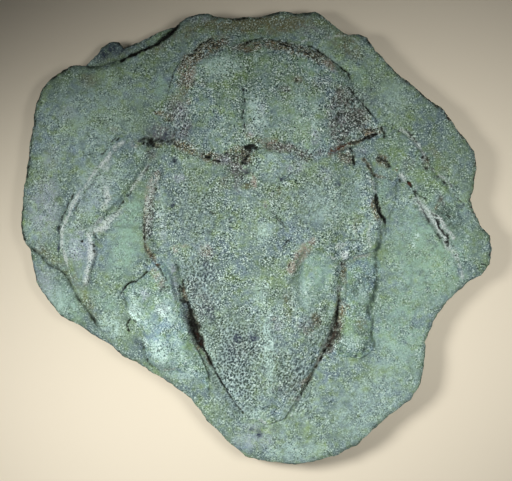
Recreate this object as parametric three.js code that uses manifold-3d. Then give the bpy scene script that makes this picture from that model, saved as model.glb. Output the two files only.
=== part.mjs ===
// A bothriolepis, an armoured fish of the Devonian, lying back up in a slab of siltstone.
// Millimetres, +Z up. The origin is in the middle of the slab's underside, and +Y points to the
// head. Each bone is a solid of its own, set in a socket cut for it in the stone.
import * as THREE from 'three';
import { mergeVertices } from 'three/addons/utils/BufferGeometryUtils.js';
import Module from 'manifold-3d';

const wasm = await Module();
wasm.setup();

// Driving heights above the flat underside.
const SLAB_TOP = 17.5;
const CEILING = 60;
const BONE_UNDERSIDE = 13.2;
const FIT_GAP = 0.3;
const SOCKET_FLOOR = BONE_UNDERSIDE - FIT_GAP;
const BED_OVERLAP = 0.6;

// How the split face and the bones rise and fall.
const RIM_FALL = 1.7;
const RIM_FALL_WIDTH = 15;
const WAVES = [
  { rise: 0.45, lengths: [19, 27] },
  { rise: 0.3, lengths: [15, 40] },
];
const BONE_LIP = 1;
const HEAD_RISE = 2.8;
const TRUNK_RISE = 3;
const TAIL_RISE = 1.4;
const TAIL_TAPER = [-86, -40];
const EDGE_SLOPE = 9;
const NECK_DIP = 1.2;
const HOLLOW_DEPTH = 2.4;
const HOLLOW_SLOPE = 4;

// Grid spacing of the modelled faces.
const STONE_CELL = 5.6;
const SHIELD_CELL = 3.3;
const SIDE_PLATE_CELL = 3;
const FIN_CELL = 3.2;

// The rim of the slab in stretches, each running anticlockwise.
const LEFT_RIM = [
  [-81, 76], [-90, 70.5], [-94.5, 65.5], [-97, 58.5], [-99, 47], [-100.5, 34], [-102.5, 20.5],
  [-104, 6.5], [-102.5, -1],
];
const LOWER_LEFT_RIM = [
  [-100, -5.5], [-99, -13.5], [-97.5, -20], [-92.5, -28], [-86.5, -35], [-77.5, -40],
  [-69, -45.5],
];
const LOWER_LEFT_STEP = [
  [-101, -3.5], [-96, -7.5], [-91, -12.5], [-86.5, -14.5], [-83.5, -18.5], [-81, -24],
  [-77.5, -29], [-74, -33.5], [-70, -39.5], [-65.5, -46],
];
const TAIL_RIM = [
  [-61, -50.5], [-47, -59], [-37, -65], [-29, -71.5], [-23, -79], [-11.5, -91], [-4.5, -96.5],
  [4.5, -99], [15, -100], [25.5, -99], [36, -96], [44, -92], [50, -86], [59, -78], [68, -71.5],
  [71.5, -66.5], [73.5, -59.5], [75, -46], [78, -37], [85, -27], [92.5, -21], [99.5, -16.5],
];
const RIGHT_RIM = [
  [103, -11.5], [104, -5], [103.5, 0.5], [99.5, 4], [96, 11], [94.5, 16.5], [96, 23.5],
  [97, 31], [96, 38], [92, 43.5], [85, 53], [81.5, 57], [76.5, 60.5], [68.5, 67], [59, 75.5],
  [52.5, 82.5], [48.5, 88], [45.5, 89.5], [41, 89.5], [37.5, 91.5],
];
const HEAD_RIM = [
  [29, 98], [26, 99.5], [19, 99], [12, 100], [7, 99], [2.5, 97.5], [-3, 97], [-10.5, 96.5],
  [-17.5, 97], [-21.5, 98.5], [-25, 98.5], [-28.5, 97.5],
];
const UPPER_LEFT_STEP = [
  [-34.5, 94], [-37.5, 91], [-40.5, 88.5], [-44.5, 85.5], [-49, 83], [-54.5, 81], [-59, 78.5],
  [-63.5, 77], [-69, 75.5], [-74, 75],
];
const CHIP_RIM = [
  [-33, 95], [-42.5, 91.5], [-51, 87.5], [-59, 84], [-61.5, 87], [-65, 87], [-69, 84.5],
  [-76, 76.5],
];

// The beds of the stone, bottom first: how far each one's broken edge stands back.
const SHARED_RIM = [...TAIL_RIM, ...RIGHT_RIM, ...HEAD_RIM];
const BEDS = [
  { from: 0, to: 5, back: 2.4, ragged: 0.7,
    rim: [...LEFT_RIM, ...LOWER_LEFT_RIM, ...SHARED_RIM, ...CHIP_RIM] },
  { from: 5, to: 9.5, back: 0.5, ragged: 0.4,
    rim: [...LEFT_RIM, ...LOWER_LEFT_RIM, ...SHARED_RIM, ...CHIP_RIM] },
  { from: 9.5, to: 12.8, back: 0.9, ragged: 0.5,
    rim: [...LEFT_RIM, ...LOWER_LEFT_RIM, ...SHARED_RIM, ...UPPER_LEFT_STEP] },
];
const TOP_BED_RIM = [...LEFT_RIM, ...LOWER_LEFT_STEP, ...SHARED_RIM, ...UPPER_LEFT_STEP];

// The neck joint between head and trunk, left to right.
const NECK_JOINT = [
  [-36, 40], [-29, 36.8], [-22, 34.2], [-15, 32.8], [-9, 34], [-3, 37], [3, 37.8], [10, 37.8],
  [16, 37], [21, 35.4], [27, 34], [32, 35.2], [36.5, 38.4], [42, 40.4],
];
const NECK_HALF_GAP = 0.45;

const HEAD_FRONT = [
  [49, 42.5], [55.5, 43.5], [57, 46], [52.5, 51.5], [47.5, 58], [42.5, 64], [41.5, 69],
  [37, 74.5], [30, 80], [23, 84], [15.5, 85.5], [8, 87.5], [1.5, 87.5], [-5, 85.8],
  [-11.5, 86.2], [-17.5, 87.5], [-23.5, 85], [-28, 81.5], [-32.5, 78], [-36.5, 72],
  [-37.5, 66], [-39, 61.5], [-42, 57.5], [-45.5, 54.5], [-42.5, 51], [-38, 48], [-36, 44.5],
];
const HEAD_OUTLINE = [...shifted(NECK_JOINT, 0, NECK_HALF_GAP), ...HEAD_FRONT];

const TRUNK_SIDES = [
  [-39.5, 39], [-43, 34], [-43.5, 29.5], [-46.5, 24.5], [-48.5, 16.5], [-50, 6.5],
  [-49.5, -1.5], [-46.5, -7.2], [-39, -8.8], [-34.8, -12], [-32.5, -18], [-28.5, -30],
  [-24, -44.5], [-19, -57], [-13, -67.5], [-8, -75.5], [-3.5, -80], [4.5, -82.5],
  [12, -79.8], [16.2, -73.5], [19.4, -67.5], [23.2, -60], [27, -52], [30.5, -44], [33.7, -35.5],
  [35.2, -27], [35.8, -19], [37, -11.5], [41.5, -8.6], [48.5, -7.2], [53.5, -6], [54.5, 0.5],
  [56, 7.5], [52.8, 18], [52, 25], [50.5, 31], [47, 37],
];
const TRUNK_FRONT = shifted(NECK_JOINT.slice(1), 0, -NECK_HALF_GAP).reverse();
const TRUNK_OUTLINE = [...TRUNK_SIDES, ...TRUNK_FRONT];

const LEFT_SIDE_OUTLINE = [
  [-47.5, -12.5], [-48.5, -16.5], [-55.5, -20.5], [-59, -24], [-56.5, -31.5], [-53, -37],
  [-49.5, -44], [-48.8, -52], [-45.5, -57.5], [-39.5, -59.8], [-28.5, -60], [-24, -63.5],
  [-20.5, -69.5], [-20.8, -62], [-24.5, -53], [-29.5, -43.5], [-33, -33], [-35.2, -23.5],
  [-37, -15.5], [-40, -11.4], [-45.5, -9.8],
];
const RIGHT_SIDE_OUTLINE = [
  [39.8, -15], [39.8, -25.5], [38.5, -35.5], [36, -44], [32.5, -51], [38.5, -53.2],
  [46.5, -53.2], [51, -50.5], [52.3, -44.5], [50.8, -36.5], [52, -29.5], [53.6, -20.5],
  [55, -13], [54, -8.4], [44.5, -10.2],
];

const LEFT_FIN_UPPER_OUTLINE = [
  [-48.5, 31.5], [-53, 24.5], [-58, 17], [-64, 11], [-69.5, 5.8], [-73.5, 3.6], [-79.5, 2.8],
  [-85.8, 4.2], [-83.5, 11], [-78.5, 19.5], [-73, 27.5], [-67.5, 35.5], [-61.5, 42.5],
  [-56.5, 45.2], [-50.5, 40.5], [-47.2, 36.5],
];
const LEFT_FIN_LOWER_OUTLINE = [
  [-86.2, -6.5], [-83.5, -13], [-80, -17.5], [-76.5, -22], [-73, -21.5], [-71, -14.5],
  [-69.5, -8.5], [-69.5, -1.5], [-70, 3.6], [-73.8, 2.7], [-79.8, 1.9], [-86, 3.1],
];
const RIGHT_FIN_UPPER_OUTLINE = [
  [55.2, 33], [60.5, 27.5], [66, 22.5], [70.2, 18.6], [75, 22.4], [79.6, 27], [77, 32],
  [73, 38], [69, 43], [64, 47], [59.5, 48], [56.5, 42.5],
];
const RIGHT_FIN_LOWER_OUTLINE = [
  [75.6, 21.5], [70.9, 17.8], [73, 11], [78, 3], [84, -5.5], [88.5, -14], [90.8, -19],
  [92, -11], [91.6, -1.5], [91.2, 7.5], [88.8, 15], [85, 21], [80.2, 26.2],
];

// The raised back of the trunk, inside its lower flanges.
const TRUNK_BACK = [
  [-34.5, 48], [-39.5, 24], [-40.5, 9.5], [-39.5, -1.5], [-35, -11], [-31, -21], [-26.5, -35.5],
  [-21, -50.5], [-15, -63], [-8, -72.5], [-3, -78], [4.5, -80.5], [11.5, -77.5], [17, -69],
  [23, -59], [28.5, -48.5], [33, -38.5], [35, -27.5], [36.5, -13], [39, -4], [41, 5],
  [43, 16.5], [41, 30], [38, 48],
];
const HOLLOW = [
  [19, -7], [17, -13.5], [16, -23.5], [17.5, -30.5], [21, -33.5], [26.5, -32], [31, -27.5],
  [33.5, -21], [34, -12], [31, -5.5], [24.5, -4.5],
];

// Furrows in the stone beside the tail, and other creases. Depths are below the surface.
const STONE_FURROWS = [
  { width: 3.6, rise: -2, path: [
    [-34.2, -13.5], [-32.8, -21], [-30, -32], [-26.6, -42.5], [-22.5, -54], [-17.5, -62.5],
    [-11, -72.5], [-5.5, -79.5]] },
  { width: 3.4, rise: -1.8, path: [
    [38.4, -12], [38, -22], [37, -33], [34.6, -42.5], [31.3, -50.5], [27.5, -57.5],
    [23.5, -65], [18.5, -73.5]] },
  { width: 3, rise: -1, path: [[62.5, 20.5], [60, 13], [57.5, 5], [56.5, -8]] },
];
const STONE_SWELLINGS = [
  { at: [-70, 50], radii: [34, 28], rise: 0.7 },
  { at: [68, -2], radii: [30, 34], rise: -0.8 },
  { at: [40, -78], radii: [30, 24], rise: 0.6 },
  { at: [-70, 8], radii: [32, 46], rise: 0.8 },
  { at: [74, 28], radii: [28, 32], rise: 0.9 },
];

// Raised and sunken details of each bone.
const HEAD_SWELLINGS = [
  { at: [4, 60], radii: [50, 36], rise: 2.6 },
  { at: [0.5, 53.5], radii: [6.5, 12], rise: 1 },
  { at: [-41, 51.5], radii: [10, 9], rise: -1.4 },
  { at: [-26, 66], radii: [11, 14], rise: 0.7 },
  { at: [27, 62], radii: [14, 12], rise: 0.6 },
];
const HEAD_LINES = [
  { width: 2.6, rise: -0.8, path: [[-6, 70], [-5.5, 61], [-4.5, 51.5]] },
  { width: 3, rise: 0.9, path: [[16, 81], [24, 79.5], [31, 75], [36.5, 70]] },
];
const TRUNK_SWELLINGS = [
  { at: [1, -4], radii: [44, 44], rise: 2.6 },
  { at: [-5, -50], radii: [16, 30], rise: 0.8 },
  { at: [14, -52], radii: [14, 26], rise: 0.8 },
  { at: [-2, 28], radii: [9, 9], rise: -0.8 },
];
const TRUNK_LINES = [
  { width: 3, rise: 1.5, path: [
    [-42.5, 28.5], [-46, 23], [-47, 16.5], [-48, 6.5], [-47.5, -1.5], [-44.5, -6]] },
  { width: 2.8, rise: 1.2, path: [[47.5, 33], [50, 25], [51, 15], [53.5, 6.5], [52, -4]] },
  { width: 5.5, rise: 1.3, path: [
    [4.5, -20], [5, -36.5], [5, -47.5], [6, -58.5], [5, -69.5], [3, -78]] },
  { width: 2.6, rise: 1.2, path: [
    [25.5, -1.5], [20.5, -3.5], [17.5, -7.5], [15.5, -12], [14.5, -18]] },
  { width: 2, rise: -0.5, path: [[0, 17.5], [6, 13], [10.5, 9], [15.5, 0.5], [8, -9]] },
  { width: 2, rise: -0.5, path: [[-3, 17.5], [-10, 13], [-17.5, 7.5], [-18, -1.5]] },
  { width: 2, rise: -0.5, path: [[19, -1], [32.5, -1.5], [44.5, -0.5]] },
];
const LEFT_SIDE_SWELLINGS = [
  { at: [-54, -30], radii: [6, 8], rise: 1.2 },
  { at: [-48, -43], radii: [5, 7], rise: 1 },
  { at: [-43, -30], radii: [7, 9], rise: 1.4 },
  { at: [-41.5, -52], radii: [9, 9], rise: 1.8 },
  { at: [-36, -22], radii: [4, 12], rise: 0.9 },
];
const RIGHT_SIDE_SWELLINGS = [
  { at: [43.5, -45], radii: [9, 9], rise: 1.3 },
  { at: [46.5, -16], radii: [7, 9], rise: 0.7 },
];
const LEFT_FIN_UPPER_LINES = [
  { width: 2.6, rise: 1, path: [
    [-58, 43.5], [-63, 38], [-68, 31], [-73.5, 23.5], [-78.5, 15.5], [-83, 6.5]] },
  { width: 2.8, rise: 0.9, path: [[-49.5, 33], [-55, 23.5], [-60, 17], [-66.5, 10], [-72, 5]] },
];
const LEFT_FIN_LOWER_LINES = [
  { width: 2.6, rise: 0.9, path: [[-84.5, 1], [-84, -7], [-81, -13]] },
  { width: 3, rise: 1, path: [[-71.5, 2], [-71, -6], [-73, -13], [-75, -20]] },
];
const RIGHT_FIN_UPPER_LINES = [
  { width: 3, rise: 1.2, path: [[60, 46], [66, 43.5], [71, 38.5], [75, 31.5], [78, 27.5]] },
  { width: 3, rise: 1, path: [[57, 33.5], [62, 28.5], [68.5, 21.5]] },
];
const RIGHT_FIN_LOWER_LINES = [
  { width: 2.8, rise: 0.9, path: [[73, 16], [77, 8], [83, -1], [87.5, -9], [90, -16]] },
  { width: 2.6, rise: 0.9, path: [[82, 23], [87, 16], [90, 7]] },
];

function shifted(points, dx, dy) {
  return points.map(([x, y]) => [x + dx, y + dy]);
}

// Distance from a point to the stretch between two others.
function distanceToStretch(x, y, [ax, ay], [bx, by]) {
  const dx = bx - ax;
  const dy = by - ay;
  const along = ((x - ax) * dx + (y - ay) * dy) / (dx * dx + dy * dy);
  const t = THREE.MathUtils.clamp(along, 0, 1);
  return Math.hypot(x - ax - t * dx, y - ay - t * dy);
}

function distanceToPath(x, y, path) {
  let nearest = Infinity;
  for (let i = 1; i < path.length; i += 1) {
    nearest = Math.min(nearest, distanceToStretch(x, y, path[i - 1], path[i]));
  }
  return nearest;
}

// Distance to an outline, positive inside it and negative outside.
function depthInside(x, y, outline) {
  let inside = false;
  outline.forEach(([ax, ay], i) => {
    const [bx, by] = outline[(i + 1) % outline.length];
    const crosses = (ay > y) !== (by > y) && x < ax + ((y - ay) / (by - ay)) * (bx - ax);
    inside = crosses ? !inside : inside;
  });
  const distance = distanceToPath(x, y, [...outline, outline[0]]);
  return inside ? distance : -distance;
}

// A rounded swelling: its full rise at the centre, fading smoothly to nothing at its radii.
function swelling(x, y, { at, radii, rise }) {
  const reach = ((x - at[0]) / radii[0]) ** 2 + ((y - at[1]) / radii[1]) ** 2;
  return reach < 1 ? rise * (1 - reach) ** 2 : 0;
}

// A rounded ridge along a path, or a furrow where its rise is negative.
function line(x, y, { path, width, rise }) {
  const reach = (distanceToPath(x, y, path) / width) ** 2;
  return reach < 1 ? rise * (1 - reach) ** 2 : 0;
}

function total(shape, list, x, y) {
  return list.reduce((sum, item) => sum + shape(x, y, item), 0);
}

function wave(x, y, { rise, lengths }) {
  return rise * Math.sin(x / lengths[0] + 0.6) * Math.cos(y / lengths[1]);
}

// The split face of the stone that the bones lie on: gentle waves and a fall at the rim.
function splitFace(x, y) {
  const inward = THREE.MathUtils.smoothstep(depthInside(x, y, TOP_BED_RIM), 0, RIM_FALL_WIDTH);
  return SLAB_TOP - RIM_FALL * (1 - inward) + total(wave, WAVES, x, y)
    + total(swelling, STONE_SWELLINGS, x, y);
}

function stoneHeight(x, y) {
  return splitFace(x, y) + total(line, STONE_FURROWS, x, y);
}

// The head slopes down to its front edge, and dips a little at the neck.
function headHeight(x, y) {
  const front = THREE.MathUtils.smoothstep(distanceToPath(x, y, HEAD_FRONT), 0, EDGE_SLOPE);
  const neck = THREE.MathUtils.smoothstep(distanceToPath(x, y, NECK_JOINT), 0, EDGE_SLOPE);
  return splitFace(x, y) + BONE_LIP + HEAD_RISE * front + NECK_DIP * neck
    + total(swelling, HEAD_SWELLINGS, x, y) + total(line, HEAD_LINES, x, y);
}

// The trunk's back stands above its flanges, and gets lower towards the tail.
function trunkHeight(x, y) {
  const back = THREE.MathUtils.smoothstep(depthInside(x, y, TRUNK_BACK), 0, EDGE_SLOPE);
  const neck = THREE.MathUtils.smoothstep(distanceToPath(x, y, NECK_JOINT), 0, EDGE_SLOPE);
  const hollow = THREE.MathUtils.smoothstep(depthInside(x, y, HOLLOW), -1, HOLLOW_SLOPE);
  const forward = THREE.MathUtils.smoothstep(y, ...TAIL_TAPER);
  const rise = THREE.MathUtils.lerp(TAIL_RISE, TRUNK_RISE, forward);
  return splitFace(x, y) + BONE_LIP + rise * back + NECK_DIP * neck - HOLLOW_DEPTH * hollow
    + total(swelling, TRUNK_SWELLINGS, x, y) + total(line, TRUNK_LINES, x, y);
}

// A flat bone whose edge is rounded over the given width, with its own swellings and lines.
function boneHeight(outline, lip, rise, roundOver, swellings, lines) {
  return (x, y) => {
    const inward = THREE.MathUtils.smoothstep(depthInside(x, y, outline), 0, roundOver);
    return splitFace(x, y) + lip + rise * inward + total(swelling, swellings, x, y)
      + total(line, lines, x, y);
  };
}

// The outline moved outwards by a distance, or inwards where it is negative.
function grown(points, distanceAt) {
  const turn = Math.sign(THREE.ShapeUtils.area(points.map(([x, y]) => ({ x, y }))));
  return points.map((point, i) => {
    const before = points[(i + points.length - 1) % points.length];
    const after = points[(i + 1) % points.length];
    const incoming = new THREE.Vector2(point[0] - before[0], point[1] - before[1]).normalize();
    const outgoing = new THREE.Vector2(after[0] - point[0], after[1] - point[1]).normalize();
    const tangent = incoming.clone().add(outgoing).normalize();
    const mitre = Math.max(0.6, tangent.dot(outgoing));
    const distance = (turn * distanceAt(i)) / mitre;
    return [point[0] + tangent.y * distance, point[1] - tangent.x * distance];
  });
}

function solidOf(geometry) {
  geometry.deleteAttribute('normal');
  geometry.deleteAttribute('uv');
  const merged = mergeVertices(geometry, 1e-4);
  return new wasm.Manifold(new wasm.Mesh({
    numProp: 3,
    vertProperties: merged.attributes.position.array,
    triVerts: Uint32Array.from(merged.index.array),
  }));
}

function geometryOf(solid) {
  const { vertProperties, triVerts } = solid.getMesh();
  const geometry = new THREE.BufferGeometry();
  geometry.setAttribute('position', new THREE.BufferAttribute(vertProperties, 3));
  geometry.setIndex(new THREE.BufferAttribute(triVerts, 1));
  geometry.computeVertexNormals();
  return geometry;
}

// The space inside an outline between two heights.
function prism(points, low, high) {
  const shape = new THREE.Shape(points.map(([x, y]) => new THREE.Vector2(x, y)));
  const geometry = new THREE.ExtrudeGeometry(shape, { depth: high - low, bevelEnabled: false });
  return solidOf(geometry.translate(0, 0, low));
}

// A block over an outline's box, flat below and shaped by a height on top.
function reliefBlock(points, cell, low, heightAt) {
  const box = new THREE.Box2().setFromPoints(points.map(([x, y]) => new THREE.Vector2(x, y)));
  box.expandByScalar(1);
  const size = box.getSize(new THREE.Vector2());
  const middle = box.getCenter(new THREE.Vector2());
  const columns = Math.round(size.x / cell);
  const rows = Math.round(size.y / cell);
  const geometry = new THREE.BoxGeometry(size.x, size.y, 1, columns, rows, 1);
  const position = geometry.attributes.position;
  for (let i = 0; i < position.count; i += 1) {
    const x = position.getX(i) + middle.x;
    const y = position.getY(i) + middle.y;
    const z = position.getZ(i) > 0 ? heightAt(x, y) : low;
    position.setXYZ(i, x, y, z);
  }
  return solidOf(geometry);
}

function reliefSolid(outline, cell, low, heightAt) {
  return reliefBlock(outline, cell, low - 1, heightAt).intersect(prism(outline, low, CEILING));
}

// One bed of the stone below the top one, its edge standing back unevenly.
function bed({ from, to, back, ragged, rim }) {
  const edge = grown(rim, (i) => -back - ragged * Math.sin(i * 2.4) * Math.cos(i * 0.7 + from));
  return prism(edge, from, to + BED_OVERLAP);
}

function stoneSolid(boneOutlines) {
  const top = reliefSolid(TOP_BED_RIM, STONE_CELL, BEDS[2].to - BED_OVERLAP, stoneHeight);
  const stone = BEDS.map(bed).reduce((sum, next) => sum.add(next), top);
  return boneOutlines.reduce((rest, outline) => {
    const socket = prism(grown(outline, () => FIT_GAP), SOCKET_FLOOR, CEILING);
    return rest.subtract(socket);
  }, stone);
}

function piece(name, solid, look) {
  const mesh = new THREE.Mesh(geometryOf(solid), new THREE.MeshStandardMaterial(look));
  mesh.name = name;
  return mesh;
}

const BONES = [
  { name: 'head_shield', outline: HEAD_OUTLINE, cell: SHIELD_CELL, height: headHeight,
    color: 0x737d72 },
  { name: 'trunk_shield', outline: TRUNK_OUTLINE, cell: SHIELD_CELL, height: trunkHeight,
    color: 0x8aa59a },
  { name: 'left_side_plate', outline: LEFT_SIDE_OUTLINE, cell: SIDE_PLATE_CELL,
    height: boneHeight(LEFT_SIDE_OUTLINE, 0.8, 2, 5, LEFT_SIDE_SWELLINGS, []),
    color: 0xa8c4bb },
  { name: 'right_side_plate', outline: RIGHT_SIDE_OUTLINE, cell: SIDE_PLATE_CELL,
    height: boneHeight(RIGHT_SIDE_OUTLINE, 0.8, 1.6, 5, RIGHT_SIDE_SWELLINGS, []),
    color: 0x8da79a },
  { name: 'left_fin_upper', outline: LEFT_FIN_UPPER_OUTLINE, cell: FIN_CELL,
    height: boneHeight(LEFT_FIN_UPPER_OUTLINE, 0.5, 0.7, 3, [], LEFT_FIN_UPPER_LINES),
    color: 0x93a89f },
  { name: 'left_fin_lower', outline: LEFT_FIN_LOWER_OUTLINE, cell: FIN_CELL,
    height: boneHeight(LEFT_FIN_LOWER_OUTLINE, 0.5, 0.6, 3, [], LEFT_FIN_LOWER_LINES),
    color: 0x9db0a8 },
  { name: 'right_fin_upper', outline: RIGHT_FIN_UPPER_OUTLINE, cell: FIN_CELL,
    height: boneHeight(RIGHT_FIN_UPPER_OUTLINE, 0.6, 1, 3, [], RIGHT_FIN_UPPER_LINES),
    color: 0x84908a },
  { name: 'right_fin_lower', outline: RIGHT_FIN_LOWER_OUTLINE, cell: FIN_CELL,
    height: boneHeight(RIGHT_FIN_LOWER_OUTLINE, 0.5, 0.7, 3, [], RIGHT_FIN_LOWER_LINES),
    color: 0x8a9c94 },
];

const fossil = new THREE.Group();
const stone = stoneSolid(BONES.map(({ outline }) => outline));
fossil.add(piece('matrix_slab', stone, { color: 0x7e928a, roughness: 0.85, metalness: 0 }));
for (const { name, outline, cell, height, color } of BONES) {
  const solid = reliefSolid(outline, cell, BONE_UNDERSIDE, height);
  fossil.add(piece(name, solid, { color, roughness: 0.7, metalness: 0 }));
}

export default fossil;
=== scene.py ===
# Looks of the bothriolepis fossil: its split stone, its ornamented bones and their staining.
import math

import bmesh
import bpy
import numpy as np
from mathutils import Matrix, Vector
from mathutils import noise as wander


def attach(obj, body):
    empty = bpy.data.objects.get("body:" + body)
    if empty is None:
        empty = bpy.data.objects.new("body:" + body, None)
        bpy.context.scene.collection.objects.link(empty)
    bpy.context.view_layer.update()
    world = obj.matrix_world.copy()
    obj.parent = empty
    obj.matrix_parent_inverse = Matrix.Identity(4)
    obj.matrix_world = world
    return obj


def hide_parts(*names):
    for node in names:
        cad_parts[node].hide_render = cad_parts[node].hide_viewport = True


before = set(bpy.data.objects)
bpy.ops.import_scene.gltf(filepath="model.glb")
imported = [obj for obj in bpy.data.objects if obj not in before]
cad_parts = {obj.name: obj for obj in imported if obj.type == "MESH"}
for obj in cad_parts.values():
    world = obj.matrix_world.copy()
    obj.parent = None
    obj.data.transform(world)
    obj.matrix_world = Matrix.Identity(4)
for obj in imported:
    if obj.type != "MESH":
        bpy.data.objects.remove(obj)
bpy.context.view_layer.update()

MM = 0.001

# The photograph's frame, for the camera: pixels, and millimetres on the stone's split face.
PHOTO_WIDTH = 512
PHOTO_HEIGHT = 481
MM_PER_PIXEL = 0.44
ORIGIN_PIXEL = (256.25, 237)

# Heights above the flat underside, and how far the main forms rise, fall and reach inwards, in
# millimetres.
SLAB_TOP = 17.5
RIM_FALL = 1.7
RIM_FALL_WIDTH = 15
UPPER_BED_UNDERSIDE = 9
MIDDLE_BED_TOP = 12.7
LEDGE_TOP = 13.4
CHIP_TOP = 10.1
LOWEST_BED_TOP = 5.2
BONE_UNDERSIDE = 13.2
BONE_LIP = 1
HEAD_RISE = 2.8
TRUNK_RISE = 3
TAIL_RISE = 1.4
TAIL_TAPER = (-86, -40)
EDGE_SLOPE = 9
NECK_DIP = 1.2
HOLLOW_DEPTH = 2.4
HOLLOW_SLOPE = (-1, 4)

# The rim of the slab in stretches, each running anticlockwise.
LEFT_RIM = [
    (-81, 76), (-90, 70.5), (-94.5, 65.5), (-97, 58.5), (-99, 47), (-100.5, 34), (-102.5, 20.5),
    (-104, 6.5), (-102.5, -1),
]
LOWER_LEFT_RIM = [
    (-100, -5.5), (-99, -13.5), (-97.5, -20), (-92.5, -28), (-86.5, -35), (-77.5, -40),
    (-69, -45.5),
]
LOWER_LEFT_STEP = [
    (-101, -3.5), (-96, -7.5), (-91, -12.5), (-86.5, -14.5), (-83.5, -18.5), (-81, -24),
    (-77.5, -29), (-74, -33.5), (-70, -39.5), (-65.5, -46),
]
TAIL_RIM = [
    (-61, -50.5), (-47, -59), (-37, -65), (-29, -71.5), (-23, -79), (-11.5, -91), (-4.5, -96.5),
    (4.5, -99), (15, -100), (25.5, -99), (36, -96), (44, -92), (50, -86), (59, -78), (68, -71.5),
    (71.5, -66.5), (73.5, -59.5), (75, -46), (78, -37), (85, -27), (92.5, -21), (99.5, -16.5),
]
RIGHT_RIM = [
    (103, -11.5), (104, -5), (103.5, 0.5), (99.5, 4), (96, 11), (94.5, 16.5), (96, 23.5),
    (97, 31), (96, 38), (92, 43.5), (85, 53), (81.5, 57), (76.5, 60.5), (68.5, 67), (59, 75.5),
    (52.5, 82.5), (48.5, 88), (45.5, 89.5), (41, 89.5), (37.5, 91.5),
]
HEAD_RIM = [
    (29, 98), (26, 99.5), (19, 99), (12, 100), (7, 99), (2.5, 97.5), (-3, 97), (-10.5, 96.5),
    (-17.5, 97), (-21.5, 98.5), (-25, 98.5), (-28.5, 97.5),
]
UPPER_LEFT_STEP = [
    (-34.5, 94), (-37.5, 91), (-40.5, 88.5), (-44.5, 85.5), (-49, 83), (-54.5, 81), (-59, 78.5),
    (-63.5, 77), (-69, 75.5), (-74, 75),
]
CHIP_RIM = [
    (-33, 95), (-42.5, 91.5), (-51, 87.5), (-59, 84), (-61.5, 87), (-65, 87), (-69, 84.5),
    (-76, 76.5),
]
SHARED_RIM = [*TAIL_RIM, *RIGHT_RIM, *HEAD_RIM]
UPPER_BED_OUTLINE = [*LEFT_RIM, *LOWER_LEFT_STEP, *SHARED_RIM, *UPPER_LEFT_STEP]
LOWER_BED_OUTLINE = [*LEFT_RIM, *LOWER_LEFT_RIM, *SHARED_RIM, *CHIP_RIM]

# The neck joint between head and trunk, left to right.
NECK_JOINT = [
    (-36, 40), (-29, 36.8), (-22, 34.2), (-15, 32.8), (-9, 34), (-3, 37), (3, 37.8), (10, 37.8),
    (16, 37), (21, 35.4), (27, 34), (32, 35.2), (36.5, 38.4), (42, 40.4),
]
NECK_HALF_GAP = 0.2

# The bones' outlines.
HEAD_FRONT = [
    (49, 42.5), (55.5, 43.5), (57, 46), (52.5, 51.5), (47.5, 58), (42.5, 64), (41.5, 69),
    (37, 74.5), (30, 80), (23, 84), (15.5, 85.5), (8, 87.5), (1.5, 87.5), (-5, 85.8),
    (-11.5, 86.2), (-17.5, 87.5), (-23.5, 85), (-28, 81.5), (-32.5, 78), (-36.5, 72),
    (-37.5, 66), (-39, 61.5), (-42, 57.5), (-45.5, 54.5), (-42.5, 51), (-38, 48), (-36, 44.5),
]
HEAD_OUTLINE = [*((x, y + NECK_HALF_GAP) for x, y in NECK_JOINT), *HEAD_FRONT]

TRUNK_SIDES = [
    (-39.5, 39), (-43, 34), (-43.5, 29.5), (-46.5, 24.5), (-48.5, 16.5), (-50, 6.5),
    (-49.5, -1.5), (-46.5, -7.2), (-39, -8.8), (-34.8, -12), (-32.5, -18), (-28.5, -30),
    (-24, -44.5), (-19, -57), (-13, -67.5), (-8, -75.5), (-3.5, -80), (4.5, -82.5),
    (12, -79.8), (16.2, -73.5), (19.4, -67.5), (23.2, -60), (27, -52), (30.5, -44), (33.7, -35.5),
    (35.2, -27), (35.8, -19), (37, -11.5), (41.5, -8.6), (48.5, -7.2), (53.5, -6), (54.5, 0.5),
    (56, 7.5), (52.8, 18), (52, 25), (50.5, 31), (47, 37),
]
TRUNK_FRONT = [(x, y - NECK_HALF_GAP) for x, y in reversed(NECK_JOINT[1:])]
TRUNK_OUTLINE = [*TRUNK_SIDES, *TRUNK_FRONT]

LEFT_SIDE_OUTLINE = [
    (-47.5, -12.5), (-48.5, -16.5), (-55.5, -20.5), (-59, -24), (-56.5, -31.5), (-53, -37),
    (-49.5, -44), (-48.8, -52), (-45.5, -57.5), (-39.5, -59.8), (-28.5, -60), (-24, -63.5),
    (-20.5, -69.5), (-20.8, -62), (-24.5, -53), (-29.5, -43.5), (-33, -33), (-35.2, -23.5),
    (-37, -15.5), (-40, -11.4), (-45.5, -9.8),
]
RIGHT_SIDE_OUTLINE = [
    (39.8, -15), (39.8, -25.5), (38.5, -35.5), (36, -44), (32.5, -51), (38.5, -53.2),
    (46.5, -53.2), (51, -50.5), (52.3, -44.5), (50.8, -36.5), (52, -29.5), (53.6, -20.5),
    (55, -13), (54, -8.4), (44.5, -10.2),
]
LEFT_FIN_UPPER_OUTLINE = [
    (-48.5, 31.5), (-53, 24.5), (-58, 17), (-64, 11), (-69.5, 5.8), (-73.5, 3.6), (-79.5, 2.8),
    (-85.8, 4.2), (-83.5, 11), (-78.5, 19.5), (-73, 27.5), (-67.5, 35.5), (-61.5, 42.5),
    (-56.5, 45.2), (-50.5, 40.5), (-47.2, 36.5),
]
LEFT_FIN_LOWER_OUTLINE = [
    (-86.2, -6.5), (-83.5, -13), (-80, -17.5), (-76.5, -22), (-73, -21.5), (-71, -14.5),
    (-69.5, -8.5), (-69.5, -1.5), (-70, 3.6), (-73.8, 2.7), (-79.8, 1.9), (-86, 3.1),
]
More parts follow.
